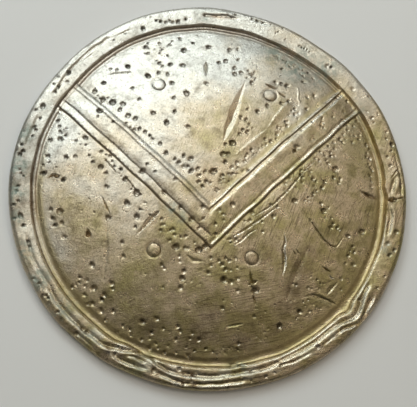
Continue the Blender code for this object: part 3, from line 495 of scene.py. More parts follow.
# Where the brass has darkened to brown: x, y, size, strength
stainPlaces = [
    (32, -31, 6, 0.9), (29, -38, 6, 0.9), (26, -45, 6, 0.7), (35, -25, 5, 0.6), (14, -50, 9, 0.5),
    (-22, -52, 9, 0.7), (-5, -56, 9, 0.8), (10, -58, 8, 0.7), (0, -48, 9, 0.5), (24, -54, 7, 0.6),
    (-36, -44, 6, 0.5), (-16, -28, 5, 0.5), (-20, -33, 5, 0.5), (20, -26, 5, 0.4), (-73, 0, 8, 1.0),
    (-72, 14, 8, 0.9), (-70, 26, 6, 0.6), (-70, 4, 9, 0.9), (-70, -8, 9, 0.9), (-69, 16, 8, 0.8),
    (-71, 20, 8, 0.8), (-52, -52, 6, 0.4), (50, 33, 5, 0.5), (60, 30, 5, 0.4), (36, 44, 6, 0.5),
    (26, 42, 5, 0.4), (-58, 4, 4, 0.4), (54, -40, 6, 0.4),
]

# Painted shade lines in the V band's grooves: distance from the middle line, width, strength on the left and
# on the right arm
bandShadeLines = [
    (5.65, 0.3, 0.8, 0), (2.45, 0.25, 0.6, 0), (-3.95, 0.4, 0.3, 0), (6.2, 0.35, 0, 0.5), (-4.4, 0.3, 0, 0.5),
]
# Ridges of its right arm that get a painted highlight, partly rubbed bare: distance from the middle line,
# width
ridgeHighlights = [(-5.2, 0.35), (-3.1, 0.45), (5.0, 0.4)]
# Where the net is finest across its left and right arm: from, to
fineLeft = [(1.9, 3), (5.2, 6.5), (-4.5, -3.4)]
fineRight = [(3.5, 6.8), (-5.8, -2.5)]
# The lines of both arms that the net's points move on to
crispLines = [-5.5, -4.9, -4.7, -4.25, -4.0, -3.65, -2.6, 2.1, 2.5, 3.6, 4.1, 4.45, 5.2, 5.6, 6.1]

def settled(x, y):
    # The places above were read as on a slightly lower dome; this moves them to where they lie on this one
    lift = 1 - np.minimum(np.hypot(x, y) / 66, 1) ** 2
    return x - plateValues["settle"][0] * lift, y - plateValues["settle"][1] * lift


gashes = {name: ([settled(*point) for point in form[0]], *form[1:]) for name, form in gashes.items()}
loneCount = sum(map(len, lonePits.values()))
print("wear listed:", len(gashes), "gashes,", loneCount, "lone pits,", len(pitRows), "rows")


# Small tools used by every piece

def select(obj):
    bpy.ops.object.select_all(action="DESELECT")
    obj.select_set(True)
    bpy.context.view_layer.objects.active = obj


def readPoints(obj):
    flat = np.empty(len(obj.data.vertices) * 3)
    obj.data.vertices.foreach_get("co", flat)
    return flat.reshape(-1, 3)


def writePoints(obj, points):
    obj.data.vertices.foreach_set("co", np.ascontiguousarray(points).ravel())
    obj.data.update()


def editAll(obj, *steps):
    # Runs each step in edit mode with the whole mesh selected
    select(obj)
    bpy.ops.object.mode_set(mode="EDIT")
    for step in steps:
        bpy.ops.mesh.select_all(action="SELECT")
        step()
    bpy.ops.object.mode_set(mode="OBJECT")


def normalsOut():
    bpy.ops.mesh.normals_make_consistent(inside=False)


def applyModifiers(obj):
    select(obj)
    for modifier in list(obj.modifiers):
        bpy.ops.object.modifier_apply(modifier=modifier.name)


def smooth(obj, degrees):
    select(obj)
    bpy.ops.object.shade_smooth_by_angle(angle=math.radians(degrees))


def ease(value, low, high):
    share = np.clip((value - low) / (high - low), 0, 1)
    return share * share * (3 - 2 * share)


def hump(value, middle, width):
    # 1 at the middle, fading to both sides
    return np.exp(-((value - middle) / width) ** 2)


def softened(values, weights):
    # A line of values, each mixed with its neighbours
    return np.convolve(np.pad(values, len(weights) // 2, mode="edge"), weights / weights.sum(), mode="valid")


def waves(x, y, size, seed):
    # Soft unevenness between about -1 and 1, with bumps of roughly the given size
    chance = random.Random(seed)
    total = np.zeros_like(x)
    for _ in range(7):
        angle = chance.uniform(0, 2 * math.pi)
        pace = 2 * math.pi / (size * chance.uniform(1.2, 2.6))
        total += np.sin(pace * (x * math.cos(angle) + y * math.sin(angle)) + chance.uniform(0, 2 * math.pi))
    return total / 3.2


def columnFinder(x):
    # Gives a function that lists the points whose x lies within reach of a place
    order = np.argsort(x)
    sortedX = x[order]
    return lambda px, reach: order[np.searchsorted(sortedX, px - reach):np.searchsorted(sortedX, px + reach)]


# The plate: an even net of triangles on a disc, made finer where the relief is fine, then raised

def fieldHeight(radius):
    dome = 1 - np.minimum(radius / plateValues["fieldRadius"], 1) ** 2
    return plateValues["fieldEdge"] + plateValues["domeRise"] * dome


def roundShift(angle):
    # How far the rim lies outside the true circle at an angle in degrees
    angles, shifts = np.array(outlineShift).T
    turns = np.arange(-30, 391.0)
    line = np.interp(turns, np.concatenate([angles - 360, angles, angles + 360]), np.tile(shifts, 3))
    return np.interp(angle % 360, turns, softened(line, np.hanning(13)))


def listPits():
    # Every pit: its place, its diameter, how deep it is, and how strong its painted shade and dirt are
    chance = random.Random(plateValues["seed"])
    pits = [pit for group in lonePits.values() for pit in group]
    for angle, radius, size in rimPits:
        turn = math.radians(angle)
        radius = radius - float(roundShift(np.array(angle))) * float(ease(np.array(radius), 56, 65))
        pits.append((radius * math.cos(turn), radius * math.sin(turn), size))
    for start, end, count, stray, size in pitRows.values():
        for number in range(count):
            share = (number + chance.uniform(0.1, 0.9)) / count
            pits.append((
                start[0] + (end[0] - start[0]) * share + chance.gauss(0, stray * 0.7),
                start[1] + (end[1] - start[1]) * share + chance.gauss(0, stray * 0.7),
                size * chance.uniform(0.7, 1.2),
            ))
    pits = np.array(pits)
    pits[:, 0], pits[:, 1] = settled(pits[:, 0], pits[:, 1])
    pits[:, 2] *= plateValues["pitScale"]
    # The upper left ones are deep holes with dark painted shade and dirt, the lower right ones clean bowls;
    # large ones are deep everywhere
    varied = np.array([chance.uniform(-0.25, 0.35) for _ in pits])
    bold = 1 - 0.7 * ease(pits[:, 0] - pits[:, 1], -60, 25) + varied
    bold = np.maximum(bold, ease(pits[:, 2], 1.5, 2.4) * 0.7)
    bowls = [(*settled(x, y), size, 0) for x, y, size in shallowBowls]
    return np.vstack([np.column_stack([pits, np.clip(bold, 0, 1)]), bowls])


def toCrease(x, y, crease):
    # Distance from a crease of the rim, and its strength there
    angles, radii = np.array(crease[0]).T
    turns = np.arange(angles[0] - 4, angles[-1] + 4, 0.25)
    line = softened(np.interp(turns, angles, radii) - roundShift(turns), np.hanning(9))
    angle = (np.degrees(np.arctan2(y, x)) - angles[0] + 20) % 360 + angles[0] - 20
    away = np.hypot(x, y) - np.interp(angle, turns, line) + 0.12 * waves(x, y, 4, int(angles[0]))
    fade = ease(angle, angles[0] - 0.4, angles[0] + 2) * (1 - ease(angle, angles[-1] - 2, angles[-1] + 0.6))
    return away, fade


def toLine(x, y, points):
    # Signed distance from a line through the points and the share of its length at the nearest place
    points = np.array(points, float)
    steps = np.hypot(*np.diff(points, axis=0).T)
    starts = np.concatenate([[0], np.cumsum(steps)])
    best = np.full_like(x, 1e9)
    signed = np.full_like(x, 1e9)
    share = np.zeros_like(x)
    for number, length in enumerate(steps):
        px, py = points[number]
        ux, uy = (points[number + 1] - points[number]) / length
        along = (x - px) * ux + (y - py) * uy
        kept = np.clip(along, 0, length)
        away = np.hypot(x - px - kept * ux, y - py - kept * uy)
        nearer = away < best
        best = np.where(nearer, away, best)
        side = np.where((x - px) * uy - (y - py) * ux > 0, 1.0, -1.0)
        signed = np.where(nearer, away * side, signed)
        share = np.where(nearer, (starts[number] + along) / starts[-1], share)
    return signed, share


def toBand(x, y):
    # Distance from the V's middle line, positive below it, and 1 on the right arm, 0 on the left
    half = math.radians(bandHalfAngle)
    dx, dy = x - bandPoint[0], y - bandPoint[1]
    stray = plateValues["handWobble"]
    right = dx * math.cos(half) - dy * math.sin(half) + stray * waves(x, y, 9, 21) * 0.7
    left = -dx * math.cos(half) - dy * math.sin(half) + stray * waves(x, y, 9, 22) * 0.7
    return np.maximum(left, right), ease(right - left, -1.2, 1.2)


def bandLift(x, y):
    away, onRight = toBand(x, y)
    left, right = (np.interp(away, *np.array(section).T) for section in (leftSection, rightSection))
    lift = left * (1 - onRight) + right * onRight
    lift = lift + ease(-np.abs(away), -3.2, -2.2) * 0.07 * waves(x, y, 3.5, 23)
    return lift * (1 - ease(np.hypot(x, y), 65.7, 66.5))


def faceProfile(line):
    # Height of the face over the radius, with its corners softened
    step, softness, reach = 0.02, 0.06, 15
    radius = np.arange(0, 74, step)
    height = np.where(radius < line[0][0], fieldHeight(radius), np.interp(radius, *np.array(line).T))
    return radius, softened(height, np.exp(-0.5 * (np.arange(-reach, reach + 1) * step / softness) ** 2))


def placedMarks(x, y, places):
    # How strongly each point is marked by soft round patches
    total = np.zeros_like(x)
    for px, py, size, strength in places:
        total = np.maximum(total, strength * hump(x, px, 0.7 * size) * hump(y, py, 0.7 * size))
    return total


def lineNear(x, y, points, reach):
    xs, ys = np.array(points).T
    return (x > xs.min() - reach) & (x < xs.max() + reach) & (y > ys.min() - reach) & (y < ys.max() + reach)


def gashShape(x, y, number, gash):
    # Signed distance from the gash's line (below 0 on its left), its width there to either side, and its
    # strength
    points, widths, _, widest, _, taper = gash
    away, share = toLine(x, y, points)
    away = away + (0.06 * min(widths) + 0.02) * waves(x, y, 4, 40 + number)
    strengths = [
        np.minimum(ease(share, -0.03, place), 1 - ease(share, place, 1.03)) ** taper
        for place in np.broadcast_to(widest, 2)]
    left, right = (np.maximum(width * strength, 0.04) for width, strength in zip(widths, strengths))
    return away, left, right, np.minimum(*strengths)


def gashLift(x, y):
    lift = np.zeros_like(x)
    for number, gash in enumerate(gashes.values()):
        points, widths, depth, _, lip, _ = gash
        near = lineNear(x, y, points, 3.5)
        if not near.any():
            continue
        away, left, right, strength = gashShape(x[near], y[near], number, gash)
        half = np.where(away < 0, left, right)
        cut = np.clip(1 - np.abs(away) / half, 0, 1) * depth * strength
        soft = 0.3 * min(widths) + 0.2
        burr = hump(np.abs(away) - half, 0.5 * soft, soft) * lip * 0.12 * strength
        lift[near] += burr - cut
    return lift


def snapTo(x, y, near, distance, goals, closest, kept=True):
    # Points beside the lines at the goal distances move on to them, so that the facets there are clean
    step = 0.02
    away = distance(x[near], y[near])
    slopeX = (distance(x[near] + step, y[near]) - away) / step
    slopeY = (distance(x[near], y[near] + step) - away) / step
    length = np.hypot(slopeX, slopeY) + 1e-6
    for goal in goals:
        gap = away - goal
        close = (np.abs(gap) < closest) & (np.abs(length - 1) < 0.4) & kept
        x[near[close]] -= (gap * slopeX / length ** 2)[close]
        y[near[close]] -= (gap * slopeY / length ** 2)[close]


def snapToGashes(x, y):
    for number, gash in enumerate(gashes.values()):
        near = np.flatnonzero(lineNear(x, y, gash[0], 3))
        if not near.size:
            continue
        _, left, right, strength = gashShape(x[near], y[near], number, gash)
        goals = (0 * left, right, -left)
        snapTo(x, y, near, lambda px, py: gashShape(px, py, number, gash)[0], goals, 0.13, strength > 0.05)


def snapToBand(x, y):
    near = np.flatnonzero((np.abs(toBand(x, y)[0]) < 6.8) & (np.hypot(x, y) < 66.4))
    snapTo(x, y, near, lambda px, py: toBand(px, py)[0], crispLines, 0.12)


def snapToPits(x, y, pits):
    # Points beside a pit's edge, or the edge of its floor, move on to it, so that it is round
    column = columnFinder(x)
    for px, py, size, bold in pits:
        radius = size / 2
        beside = column(px, radius * 1.3)
        dx, dy = x[beside] - px, y[beside] - py
        away = np.hypot(dx, dy)
        for goal in (radius * 0.6, radius) if bold > 0.5 and size > 1.5 else (radius,):
            close = np.abs(away - goal) < 0.14
            spot = beside[close]
            x[spot] = px + dx[close] / away[close] * goal
            y[spot] = py + dy[close] / away[close] * goal


def creaseLift(x, y):
    # The rim's creases with their lips, and where the lips shine
    lift, glint = np.zeros_like(x), np.zeros_like(x)
    for crease in rimCreases.values():
        _, width, depth, lip = crease
        away, fade = toCrease(x, y, crease)
        cut = np.exp(-np.abs(away / (width * 0.40)) ** 1.7) * depth
        lift += fade * (hump(away, width * 0.85, width * 0.5) * lip * 0.42 - cut)
        glint = np.maximum(glint, fade * min(lip, 1) * hump(away, width * 0.45, width * 0.28))
    return lift, glint


def pitLift(x, y, pits):
    # The pits, the painted shade and dirt in them and the painted glint on their lit walls
    lift, hollow, glint = np.zeros_like(x), np.zeros_like(x), np.zeros_like(x)
    column = columnFinder(x)
    chance = random.Random(5)
    for px, py, size, bold in pits:
        radius = size / 2
        squash, turn = chance.uniform(-0.14, 0.14), chance.uniform(0, math.pi)
        deep, power = 0.18 + 0.22 * bold, 2 + 2.4 * bold
        pitDirtAndShade = chance.uniform(0.4, 1.0)
        beside = column(px, radius * 1.7)
        dx, dy = x[beside] - px, y[beside] - py
        angle = np.arctan2(dy, dx)
        share = np.hypot(dx, dy) / (radius * (1 + squash * np.cos(2 * (angle - turn))))
        cut = np.where(share < 1, size * deep * (1 - np.minimum(share, 1) ** power), 0)
        worn = hump(share, 1, 0.28) * size * 0.02
        lift[beside] = np.minimum(lift[beside], -cut - worn)
        # Painted shade, with some dirt, lies under the wall towards the upper left, and the wall across from
        # it gets a painted glint
        shaded = np.hypot(dx + 0.1 * size, dy - 0.12 * size) / radius
        shadedDirt = np.clip((0.9 - shaded) / 0.4, 0, 1) * (0.25 + 0.75 * bold) * pitDirtAndShade
        lit = np.clip((0.45 * dx - 0.9 * dy) / (np.hypot(dx, dy) + 0.01), 0, 1) * (1 - 0.5 * bold)
        hollow[beside] = np.maximum(hollow[beside], shadedDirt)
        glint[beside] = np.maximum(glint[beside], lit * np.clip(1.5 - np.abs(share - 0.68) / 0.2, 0, 1))
    return lift, hollow, glint


def rimPush(x, y):
    # How far the rim's inner edge and the channel beside it stray towards the centre
    radius = np.hypot(x, y)
    angle = np.degrees(np.arctan2(y, x))
    push = 0.16 * waves(x, y, 11, 31) * ease(radius, 58, 65) * (1 - ease(radius, 68.2, 72.5))
    for place, width, amount in rimDents:
        turn = (angle - place + 180) % 360 - 180
        dent = amount * np.exp(-(np.radians(turn) * 67 / width) ** 2)
        push = push + dent * ease(radius, 64.2, 66.6) * (1 - ease(radius, 67.4, 71.5))
    return push


def edgeArc(start, middle, low, high):
    # The rounded edge as a line from the flat (start, high) to the widest point: its length and its places
    turn = np.linspace(0, math.pi / 2, 40)
    line = np.stack([start + (middle - start) * np.sin(turn), low + (high - low) * np.cos(turn)], 1)
    length = np.concatenate([[0], np.cumsum(np.hypot(*np.diff(line, axis=0).T))])
    return length, line


outerRadius = (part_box("shield_plate")[1].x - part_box("shield_plate")[0].x) / 2 / mm
faceArc = edgeArc(plateValues["edgeStart"], outerRadius, plateValues["edgeHeight"], plateValues["rimTop"])
backArc = edgeArc(plateValues["backStart"], outerRadius, plateValues["edgeHeight"], 0.0)
faceReach = plateValues["edgeStart"] + faceArc[0][-1]
backReach = plateValues["backStart"] + backArc[0][-1]


def rollEdge(x, y, start, arc):
    # Lays the points past the start along the rounded edge; gives which they are, their share of it and
    # their height
    length, line = arc
    reach = np.hypot(x, y)
    rolled = reach > start
    along = reach[rolled] - start
    shrink = np.interp(along, length, line[:, 0]) / reach[rolled]
    x[rolled] *= shrink
    y[rolled] *= shrink
    return rolled, along / length[-1], np.interp(along, length, line[:, 1])


def evenNet(name, ringCount, reach):
    # A disc of even triangles: a six-sided fan, subdivided, with each of its rings then pushed out to a circle
    bpy.ops.object.select_all(action="DESELECT")
    bpy.ops.mesh.primitive_circle_add(vertices=6, radius=reach, fill_type="TRIFAN")
    net = bpy.context.object
    net.name = name
    editAll(net, lambda: bpy.ops.mesh.subdivide(number_cuts=ringCount - 1), bpy.ops.mesh.quads_convert_to_tris)
    points = readPoints(net)
    farthest = np.argmax(np.hypot(points[:, 0], points[:, 1]))
    corner = math.atan2(points[farthest, 1], points[farthest, 0])
    angle = (np.arctan2(points[:, 1], points[:, 0]) - corner) % (2 * math.pi)
    sixth = math.pi / 3
    sector = np.floor(angle / sixth + 1e-7)
    local = angle - sector * sixth - sixth / 2
    ring = np.hypot(points[:, 0], points[:, 1]) * np.cos(local) / math.cos(sixth / 2)
    turn = (sector + 0.5 + np.tan(local) / (2 * math.tan(sixth / 2))) * sixth + corner
    points[:, 0], points[:, 1] = ring * np.cos(turn), ring * np.sin(turn)
    writePoints(net, points)
    return net


def refine(net, wanted):
    # Halves the triangles whose middle lies where "wanted" says
    mesh = net.data
    middles = np.empty(len(mesh.polygons) * 3)
    mesh.polygons.foreach_get("center", middles)
    chosen = wanted(middles[0::3], middles[1::3])
    select(net)
    bpy.ops.object.mode_set(mode="EDIT")
    bpy.context.tool_settings.mesh_select_mode = (False, False, True)
    bpy.ops.mesh.select_all(action="DESELECT")
    bpy.ops.object.mode_set(mode="OBJECT")
    mesh.polygons.foreach_set("select", chosen)
    bpy.ops.object.mode_set(mode="EDIT")
    bpy.ops.mesh.subdivide(number_cuts=1)
    bpy.ops.mesh.select_all(action="SELECT")
    bpy.ops.mesh.quads_convert_to_tris()
    bpy.ops.object.mode_set(mode="OBJECT")
    print("  net refined to", len(mesh.polygons), "triangles")


def nearPits(x, y, pits, margin):
    column = columnFinder(x)
    near = np.zeros(len(x), bool)
    for px, py, size, _ in pits:
        reach = size / 2 + margin
        beside = column(px, reach)
        near[beside] |= np.hypot(x[beside] - px, y[beside] - py) < reach
    return near


def nearGashes(x, y, margin):
    near = np.zeros(len(x), bool)
    for points, widths, *_ in gashes.values():
        reach = max(widths) + margin
        beside = lineNear(x, y, points, reach)
        near[beside] |= np.abs(toLine(x[beside], y[beside], points)[0]) < reach
    return near


def nearCreases(x, y, margin):
    near = np.zeros(len(x), bool)
    for crease in rimCreases.values():
        away, fade = toCrease(x, y, crease)
        near |= (fade > 0) & (np.abs(away) < crease[1] * 0.8 + margin)
    return near


def nearRivets(x, y, reach):
    return np.minimum.reduce([np.hypot(x - px, y - py) for px, py, _, _ in rivetPlaces().values()]) < reach


def between(value, ranges):
    return np.logical_or.reduce([(value > low) & (value < high) for low, high in ranges])


def wantsFine(x, y, pits, level):
    # Where the net is halved: widely in the first round, and only along the sharp forms in the second
    radius = np.hypot(x, y)
    away, onRight = toBand(x, y)
    margin = (0.9, 0.22)[level]
    wanted = nearPits(x, y, pits, margin) | nearGashes(x, y, margin) | nearCreases(x, y, margin - 0.4)
    if level == 0:
        wanted |= (radius > 63) | (np.abs(away) < 7.2) | nearRivets(x, y, 4.2)
    else:
        onLines = np.where(onRight > 0.5, between(away, fineRight), between(away, fineLeft))
        wanted |= between(radius, [(64.2, 67.9)]) | onLines & (radius < 66.5) | nearRivets(x, y, 3.6)
    return wanted & (radius < faceReach - 2.6)


def highlightsAndBareMetal(x, y, ring, away, onRight, relief):
    # Painted highlights, partly bare metal: lit walls of pits, the rim's folds and inner edge below, patches
    # of the rim below, ridges of the right arm, lit gashes
    below, inField = ease(-y, -5, 30), 1 - ease(ring, 64, 65.5)
    rimSheen = ease(waves(x, y, 4, 71), -0.8, 1.0) * ease(ring, 66.9, 67.4) * (1 - ease(ring, 71.5, 73.5))
    parts = [
        0.9 * relief["pitGlint"], 0.75 * relief["rimGlint"] * below, 0.7 * hump(ring, 67.05, 0.4) * below,
        0.55 * rimSheen * ease(-y, 25, 60)]
    for middle, width in ridgeHighlights:
        patchy = ease(waves(x, y, 5, 60 + int(middle)), -1.2, 0.3)
        parts.append(0.8 * hump(away, middle, width) * onRight * patchy * inField)
    for number, (name, form) in enumerate(gashes.items()):
        if name in gashHighlights:
            side, left, right, strength = gashShape(x, y, number, form)
            facing, width = (-side, left) if form[2] > 0 else (side, right)
            parts.append(gashHighlights[name] * ((facing > 0) & (facing < width) & (strength > 0.1)))
    return np.maximum.reduce(parts)


def faceMarks(x, y, ring, onLower, relief):
    # What the brass needs to know of the shapes, each from 0 to 1, painted shade and highlights among them
    away, onRight = toBand(x, y)
    below, inField = ease(-y, -5, 30), 1 - ease(ring, 64, 65.8)
    toUpperLeft = ease((y - x) / np.maximum(ring, 1), -0.4, 0.9)
    # Painted shade lines at the feet of the channel's walls, stronger towards the upper left where these walls
    # face away from the light
    shadeLines = [
        hump(ring, 66.55, 0.24) * (0.35 + 0.55 * toUpperLeft),
        hump(ring, 64.85, 0.22) * (0.25 + 0.5 * toUpperLeft)]
    # Painted shade in the V band's grooves
    for middle, width, leftShare, rightShare in bandShadeLines:
        shadeLines.append(hump(away, middle, width) * (leftShare * (1 - onRight) + rightShare * onRight) * inField)
    # Stains, and painted shade along the field's lower edge
    stainsAndShade = [
        placedMarks(x, y, stainPlaces), 0.6 * hump(ring, 63.7, 0.9) * below,
        0.45 * hump(away, 1.3, 1.0) * (1 - onRight) * ease(x, -52, -38) * inField]
    bead = hump(ring - 0.3 * onLower, 65.6, 0.7 - 0.3 * onLower)
    yellows = [
        bead * np.maximum(ease(x, 5, 45), ease(-y, 5, 40)) * (1 - ease(y, 30, 60)),
        0.8 * hump(ring, 63.6, 1.6) * ease(-y, -30, 10),
        0.65 * hump(away, -6.7, 1.0) * onRight * ease(x, 2, 12) * inField,
        0.6 * hump(away, 6.5, 0.7) * (0.3 + 0.5 * onRight) * inField,
        np.clip(-relief["band"] / 0.3, 0, 0.8)]
    # The long gouge's shaded wall is painted copper-brown: partly its own tone, partly painted shade
    side, _, right, strength = gashShape(x, y, 0, gashes["long gouge"])
    shadedGougeWall = (side > 0) & (side < right) & (strength > 0.05)
    coppers = [0.45 * bead * ease(y, 0, 50), 0.45 * shadedGougeWall, 0.8 * hump(x, 3, 6) * hump(y, 70.4, 0.9)]
    return {
        "patina": placedMarks(x, y, patinaPlaces),
        "stainAndShade": np.maximum.reduce(stainsAndShade),
        "shadeLine": np.maximum.reduce(shadeLines),
        "shadeAndDirtInPits": relief["hollow"],
        "bareAndHighlight": highlightsAndBareMetal(x, y, ring, away, onRight, relief),
        "cutDepth": relief["cut"] / 0.6,
        "yellow": np.maximum.reduce(yellows),
        "copper": np.maximum.reduce(coppers),
    }


def makeFace():
    v = plateValues
    pits = listPits()
    net = evenNet("plate face", v["netRings"], faceReach)
    for level in range(2):
        refine(net, lambda x, y: wantsFine(x, y, pits, level))
    points = readPoints(net)
    x, y = points[:, 0].copy(), points[:, 1].copy()
    ring = np.hypot(x, y)
    onLower = ease(-y, 5, 35)
    z = (1 - onLower) * np.interp(ring, *faceProfile(channelLine))
    z += onLower * np.interp(ring, *faceProfile(lowerChannelLine))
    share = 1 - rimPush(x, y) / np.maximum(ring, 1)
    x, y = x * share, y * share
    snapToBand(x, y)
    snapToGashes(x, y)
    snapToPits(x, y, pits)
    reach = np.hypot(x, y)
    band = bandLift(x, y)
    z = np.where(band > 0, np.maximum(z, fieldHeight(reach) + band), z + band)
    z += v["softDent"] * waves(x, y, 8, 1) * (1 - ease(reach, 62, 65)) + v["fineDent"] * waves(x, y, 3, 2)
    z += v["rimDent"] * waves(x, y, 6, 3) * ease(reach, 67, 68.5)
    for px, py, _, _ in rivetPlaces().values():
        fromRivet = np.hypot(x - px, y - py)
        z -= seatValues["ringDip"] * hump(fromRivet, seatValues["ringRadius"], seatValues["ringWidth"])
    gash = gashLift(x, y)
    crease, rimGlint = creaseLift(x, y)
    pit, hollow, pitGlint = pitLift(x, y, pits)
    z += gash + crease + pit
    rolled, share, height = rollEdge(x, y, v["edgeStart"], faceArc)
    z[rolled] = height + (z[rolled] - v["rimTop"]) * (1 - share)
    writePoints(net, np.stack([x, y, z], 1))
    relief = {
        "band": band, "cut": -(gash + crease), "hollow": hollow, "pitGlint": pitGlint, "rimGlint": rimGlint}
    for name, values in faceMarks(x, y, ring, onLower, relief).items():
        layer = net.data.attributes.new(name, "FLOAT", "POINT")
        layer.data.foreach_set("value", np.clip(values, 0, 1))
    print("plate face:", len(net.data.polygons), "triangles,", len(pits), "pits")
    return net


def makeBack():
    # The hollow side: the dome less the wall, a flat rim to lie on, and a flat pad under each rivet
    v = plateValues
    net = evenNet("plate back", v["backRings"], backReach)

    def halveEdge():
        bpy.ops.mesh.region_to_loop()
        bpy.ops.mesh.subdivide(number_cuts=1)

    editAll(net, halveEdge, bpy.ops.mesh.quads_convert_to_tris)
    refine(net, lambda x, y: between(np.hypot(x, y), [(62, 72)]) | nearRivets(x, y, 7.5))
    points = readPoints(net)
    x, y = points[:, 0].copy(), points[:, 1].copy()
    reach = np.hypot(x, y)
    edge = reach > backReach * math.cos(math.pi / 6 / v["backRings"]) - 0.01
    x[edge] *= backReach / reach[edge]
    y[edge] *= backReach / reach[edge]
    reach = np.hypot(x, y)
    under = fieldHeight(reach) - v["wall"]
    under = np.interp(reach, [v["fieldRadius"], 67.1], [0, 1]) * -under + under
    under = under + 0.10 * waves(x, y, 7, 51) * (1 - ease(reach, 60, 65))
    z = np.maximum(under, 0)
    for px, py, _, level in rivetPlaces().values():
        inside = 1 - ease(np.hypot(x - px, y - py), 5.6, 6.4)
        z = np.minimum(z, z * (1 - inside) + level * inside)
    rolled, _, height = rollEdge(x, y, v["backStart"], backArc)
    z[rolled] = height
    writePoints(net, np.stack([x, y, z], 1))
    print("plate back:", len(net.data.polygons), "triangles")
    return net


def rivetPlaces():
    # Each rivet's node, its place, the height of the field there and the level of the pad under it
    places = {}
    for height, strap in (("upper", "hand_strap"), ("lower", "arm_strap")):
        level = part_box(strap)[1].z / mm + plateValues["padGap"]
        for side in ("left", "right"):
            node = f"rivet_{height}_{side}"
            low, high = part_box(node)
            x, y = (low.x + high.x) / 2 / mm, (low.y + high.y) / 2 / mm
            places[node] = (x, y, fieldHeight(math.hypot(x, y)), level)
    return places


# The stepped seat of a rivet, and the worn ring round it
seatValues = {
    "seatRadius": 2.68,
    "seatDepth": 1.5,
    "holeRadius": 1.8,
    "ringRadius": 2.75,
    "ringWidth": 0.36,
    "ringDip": 0.18,
}


def turnedSolid(name, profile, sides):
    # A solid raised from its lowest disc through a list of (radius, height)
    bpy.ops.object.select_all(action="DESELECT")
    bpy.ops.mesh.primitive_circle_add(
        vertices=sides, radius=profile[0][0] * mm, fill_type="NGON", location=(0, 0, profile[0][1] * mm))
    solid = bpy.context.object
    solid.name = name
    bpy.ops.object.transform_apply(location=True)

    def raiseRings():
        for (radius, height), (newRadius, newHeight) in zip(profile, profile[1:]):
            rise = (newHeight - height) * mm
            bpy.ops.mesh.extrude_region_move(TRANSFORM_OT_translate={"value": (0, 0, rise)})
            grow = newRadius / radius
            bpy.ops.transform.resize(value=(grow, grow, 1), center_override=(0, 0, newHeight * mm))

    editAll(solid, raiseRings, normalsOut)
    return solid


def cutWith(piece, tool, operation="DIFFERENCE", solver="MANIFOLD"):
    cut = piece.modifiers.new("cut", "BOOLEAN")
    cut.operation = operation
    cut.solver = solver
    cut.object = tool
    applyModifiers(piece)
    bpy.data.objects.remove(tool)


def makePlate():
    face, back = makeFace(), makeBack()
    select(face)
    back.select_set(True)
    bpy.ops.object.join()
    plate = bpy.context.object
    plate.name = "plate_look"
    editAll(plate, lambda: bpy.ops.mesh.remove_doubles(threshold=0.02), normalsOut)
    # The rim is pushed out of round, and dented a little
    points = readPoints(plate)
    reach = np.hypot(points[:, 0], points[:, 1])
    inward = np.clip(0.15 + 0.15 * waves(points[:, 0], points[:, 1], 14, 61), 0, 0.4) * ease(reach, 67.5, 75)
    angle = np.degrees(np.arctan2(points[:, 1], points[:, 0]))
    share = 1 + (roundShift(angle) * ease(reach, 56, 65) - inward) / np.maximum(reach, 1)
    points[:, :2] *= share[:, None]
    writePoints(plate, points * mm)
    v = seatValues
    for x, y, surface, _ in rivetPlaces().values():
        floor = surface - v["seatDepth"]
        tool = turnedSolid("seat tool", [
            (v["holeRadius"], -1), (v["holeRadius"], floor), (v["seatRadius"], floor),
            (v["seatRadius"], surface + 3)], 64)
        tool.location = (x * mm, y * mm, 0)
        cutWith(plate, tool)
    smooth(plate, 55)
    print("plate:", len(plate.data.polygons), "faces")
    return plate


# Looks: one worn brass, mixed from noise and from the marks that the shapes leave, with painted sheen, shade
# and highlights

brassValues = {
    "sheenPale": (0.73, 0.71, 0.65, 1),      # painted sheen, towards the top left
    "tan": (0.65, 0.53, 0.38, 1),
    "olive": (0.45, 0.39, 0.19, 1),     # towards the bottom, partly painted shade
    "yellow": (0.56, 0.46, 0.24, 1),    # where hands do not reach
    "copper": (0.46, 0.32, 0.21, 1),
    "bareAndHighlight": (0.86, 0.82, 0.72, 1),      # painted highlight, partly newly cut metal
    "shadeLine": (0.16, 0.10, 0.06, 1),      # painted shade line along the foot of the rim
    "tarnish": (0.13, 0.095, 0.06, 1),
    "verdigris": (0.24, 0.30, 0.26, 1),
    # painted shade and dirt in the pits
    "pitDirtAndShade": (0.03, 0.024, 0.017, 1),
    "gloss": (0.25, 0.42),              # roughness of the polished and of the dull places
    "scratchDepth": 0.030 * mm,
    "grainDepth": 0.14 * mm,
    "dustDepth": 0.07 * mm,
    "dentDepth": 0.15 * mm,
}


def feed(tree, socket, value):
    # Links a node's output to a socket, or gives the socket a plain value
    if isinstance(value, bpy.types.NodeSocket):
        tree.links.new(value, socket)
    else:
        socket.default_value = value


def put(tree, kind, settings=None, **inputs):
    # Adds a node; an input is a value or another node's output
    node = tree.nodes.new(kind)
    for name, value in (settings or {}).items():
        setattr(node, name, value)
    for name, value in inputs.items():
        feed(tree, node.inputs[name.replace("_", " ")], value)
    return node


def noise(tree, where, size, detail=3.0, rough=0.55):
    texture = put(
        tree, "ShaderNodeTexNoise", Vector=where, Scale=1 / (size * mm), Detail=detail, Roughness=rough)
    return texture.outputs["Fac"]


def span(tree, value, low, high, first=0.0, last=1.0):
    node = put(tree, "ShaderNodeMapRange", Value=value, From_Min=low, From_Max=high, To_Min=first, To_Max=last)
    return node.outputs["Result"]


def calc(tree, operation, first, second):
    node = put(tree, "ShaderNodeMath", {"operation": operation})
    for socket, value in zip(node.inputs, (first, second)):
        feed(tree, socket, value)
    return node.outputs["Value"]


